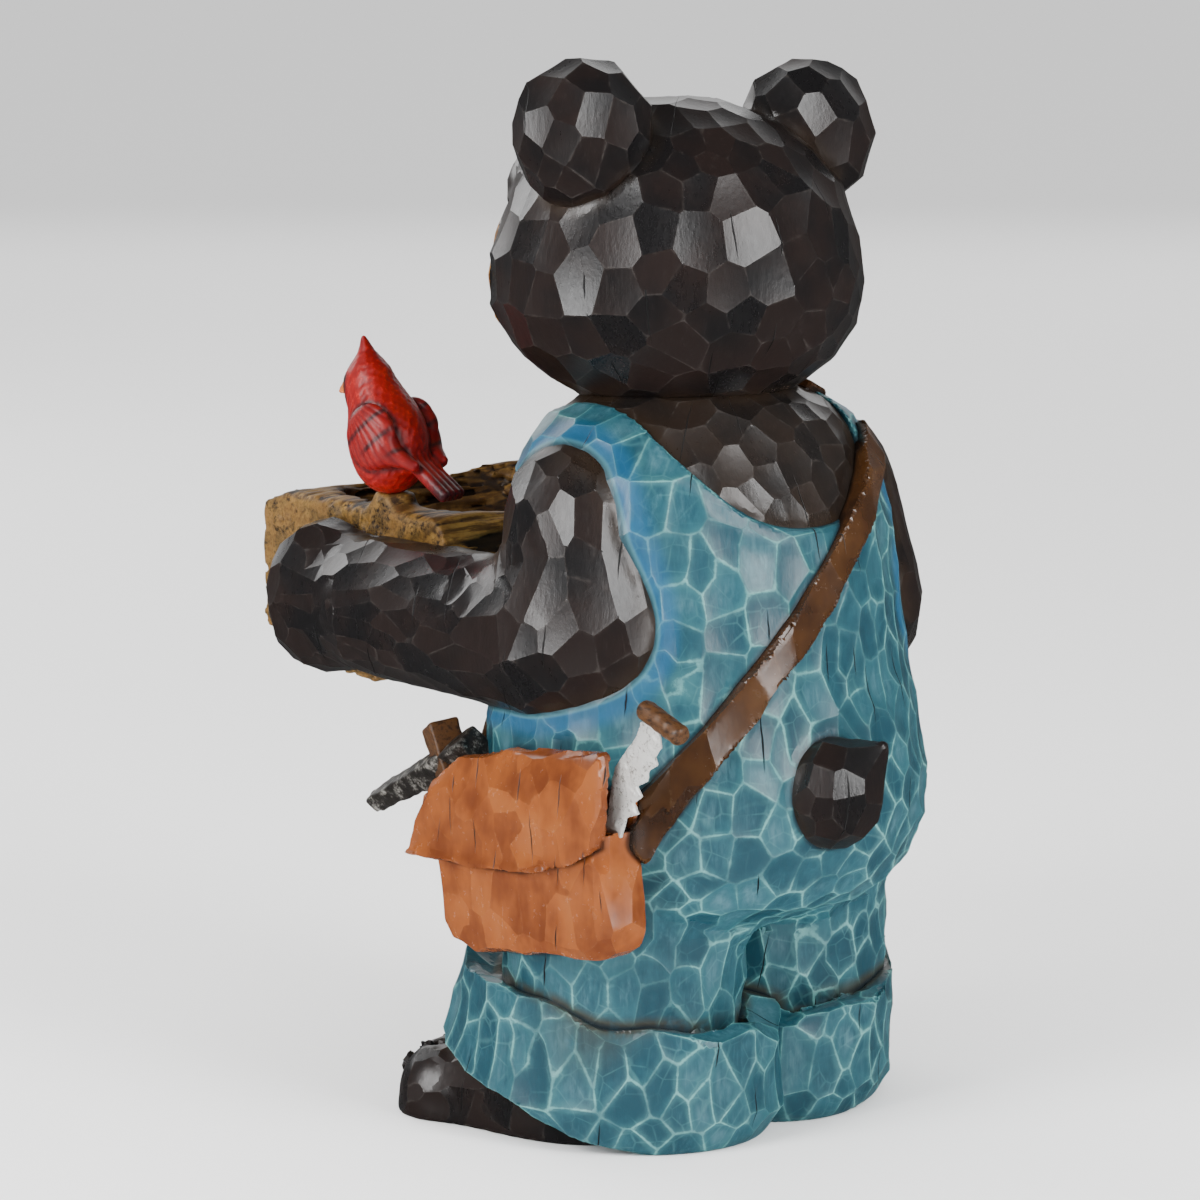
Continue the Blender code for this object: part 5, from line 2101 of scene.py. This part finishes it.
@dataclass(frozen=True)
class StudioFinish:
    """One plain matt colour, for the floor."""

    shade: float = 0.86

    def dress(self) -> bpy.types.Material:
        """Makes the material.

        Returns:
            The finished material.
        """
        paint = Paint("floor_paint", roughness=0.85, specular_ior_level=0.1)
        paint.shader.inputs["Base Color"].default_value = (self.shade, self.shade, self.shade, 1)
        return paint.material


@dataclass
class Studio:
    """The pale floor, the soft lights and the camera of the photograph."""

    camera_place: Triple = (1.38222, 1.63215, 0.600)
    camera_target: Triple = (0.03232, 0.02345, 0.246)
    lens: float = 134.4
    sensor: float = 36.0
    floor_size: float = 80.0
    ambient: float = 0.12
    sky: float = 3.4

    def floor(self) -> None:
        """Lays the floor."""
        half = self.floor_size / 2
        mesh = bpy.data.meshes.new("floor")
        corners = [(-half, -half, 0), (half, -half, 0), (half, half, 0), (-half, half, 0)]
        mesh.from_pydata(corners, [], [(0, 1, 2, 3)])
        mesh.materials.append(StudioFinish().dress())
        piece = bpy.data.objects.new("floor", mesh)
        bpy.context.scene.collection.objects.link(piece)
        piece.visible_glossy = False

    def soft_light(self, name: str, place: Triple, size: Pair, power: float) -> None:
        """Hangs a soft box that looks at the statue.

        Args:
            name: the light's name.
            place: where it hangs.
            size: its width and height.
            power: its power in watts.
        """
        lamp = bpy.data.lights.new(name, "AREA")
        lamp.shape, lamp.size, lamp.size_y, lamp.energy = "RECTANGLE", size[0], size[1], power
        piece = bpy.data.objects.new(name, lamp)
        piece.location = place
        piece.rotation_euler = (Vector((0, 0, 0.25)) - Vector(place)).to_track_quat("-Z", "Y").to_euler()
        bpy.context.scene.collection.objects.link(piece)

    def sky_light(self) -> None:
        """Keeps the floor pale with an overhead light of its own, which leaves the statue's gloss alone."""
        lamp = bpy.data.lights.new("sky_light", "SUN")
        lamp.energy, lamp.angle = self.sky, math.radians(120)
        piece = bpy.data.objects.new("sky_light", lamp)
        bpy.context.scene.collection.objects.link(piece)
        lit = bpy.data.collections.new("lit_by_sky")
        lit.objects.link(bpy.data.objects["floor"])
        piece.light_linking.receiver_collection = lit

    def around(self, turn: float, reach: float, height: float) -> Triple:
        """A place turned from the camera's side of the statue by some degrees."""
        base = math.atan2(self.camera_place[1], self.camera_place[0]) + math.radians(turn)
        return (reach * math.cos(base), reach * math.sin(base), height)

    def build(self) -> None:
        """Sets the stage, lights it and places the camera."""
        self.floor()
        self.soft_light("left_box", self.around(-47, 1.75, 1.0), (0.75, 1.2), 36)
        self.soft_light("right_box", self.around(47, 1.85, 1.0), (0.75, 1.2), 34)
        self.soft_light("back_box", self.around(180, 4.5, 2.2), (5.0, 2.4), 60)
        self.sky_light()
        self.soft_light("far_side_box", self.around(-135, 2.6, 1.4), (1.5, 1.2), 22)
        world = bpy.data.worlds.new("studio")
        world.use_nodes = True
        background = world.node_tree.nodes["Background"]
        background.inputs["Color"].default_value = (1, 1, 1, 1)
        background.inputs["Strength"].default_value = self.ambient
        bpy.context.scene.world = world
        lens = bpy.data.cameras.new("photo_camera")
        lens.lens, lens.sensor_width, lens.sensor_fit = self.lens, self.sensor, "HORIZONTAL"
        camera = bpy.data.objects.new("photo_camera", lens)
        camera.location = self.camera_place
        aim = Vector(self.camera_target) - Vector(self.camera_place)
        camera.rotation_euler = aim.to_track_quat("-Z", "Y").to_euler()
        bpy.context.scene.collection.objects.link(camera)
        bpy.context.scene.camera = camera


def main() -> None:
    """Builds every piece in order, hangs it under the root body and hides the imported part it stands in for.
    """
    logging.basicConfig(level=logging.INFO, format="%(name)s: %(message)s", stream=sys.stdout)
    tools = ToolForms()
    saw = (("saw_blade", tools.saw_blade, SawFinish()), ("saw_grip", tools.saw_grip, GripFinish()))
    hammer = (("hammer_head", tools.head, HammerFinish()), ("hammer_handle", tools.shaft, GripFinish()))
    steps = (
        (Bear(BearForm()), "bear", "painted_bear"),
        (LogBowl(LogForm()), "log_bowl", "painted_log"),
        (Cardinal(BirdForm()), "cardinal", "painted_bird"),
        (Tools(saw), "hand_saw", "painted_saw"),
        (Tools(hammer), "hammer", "painted_hammer"),
    )
    for maker, node, slot in steps:
        for piece in maker.build():
            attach(piece, "root")
            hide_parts(node)
            log.info("%s stands for %s with %d faces", piece.name, node, len(piece.data.polygons))
    Studio().build()


if __name__ == "__main__":
    main()
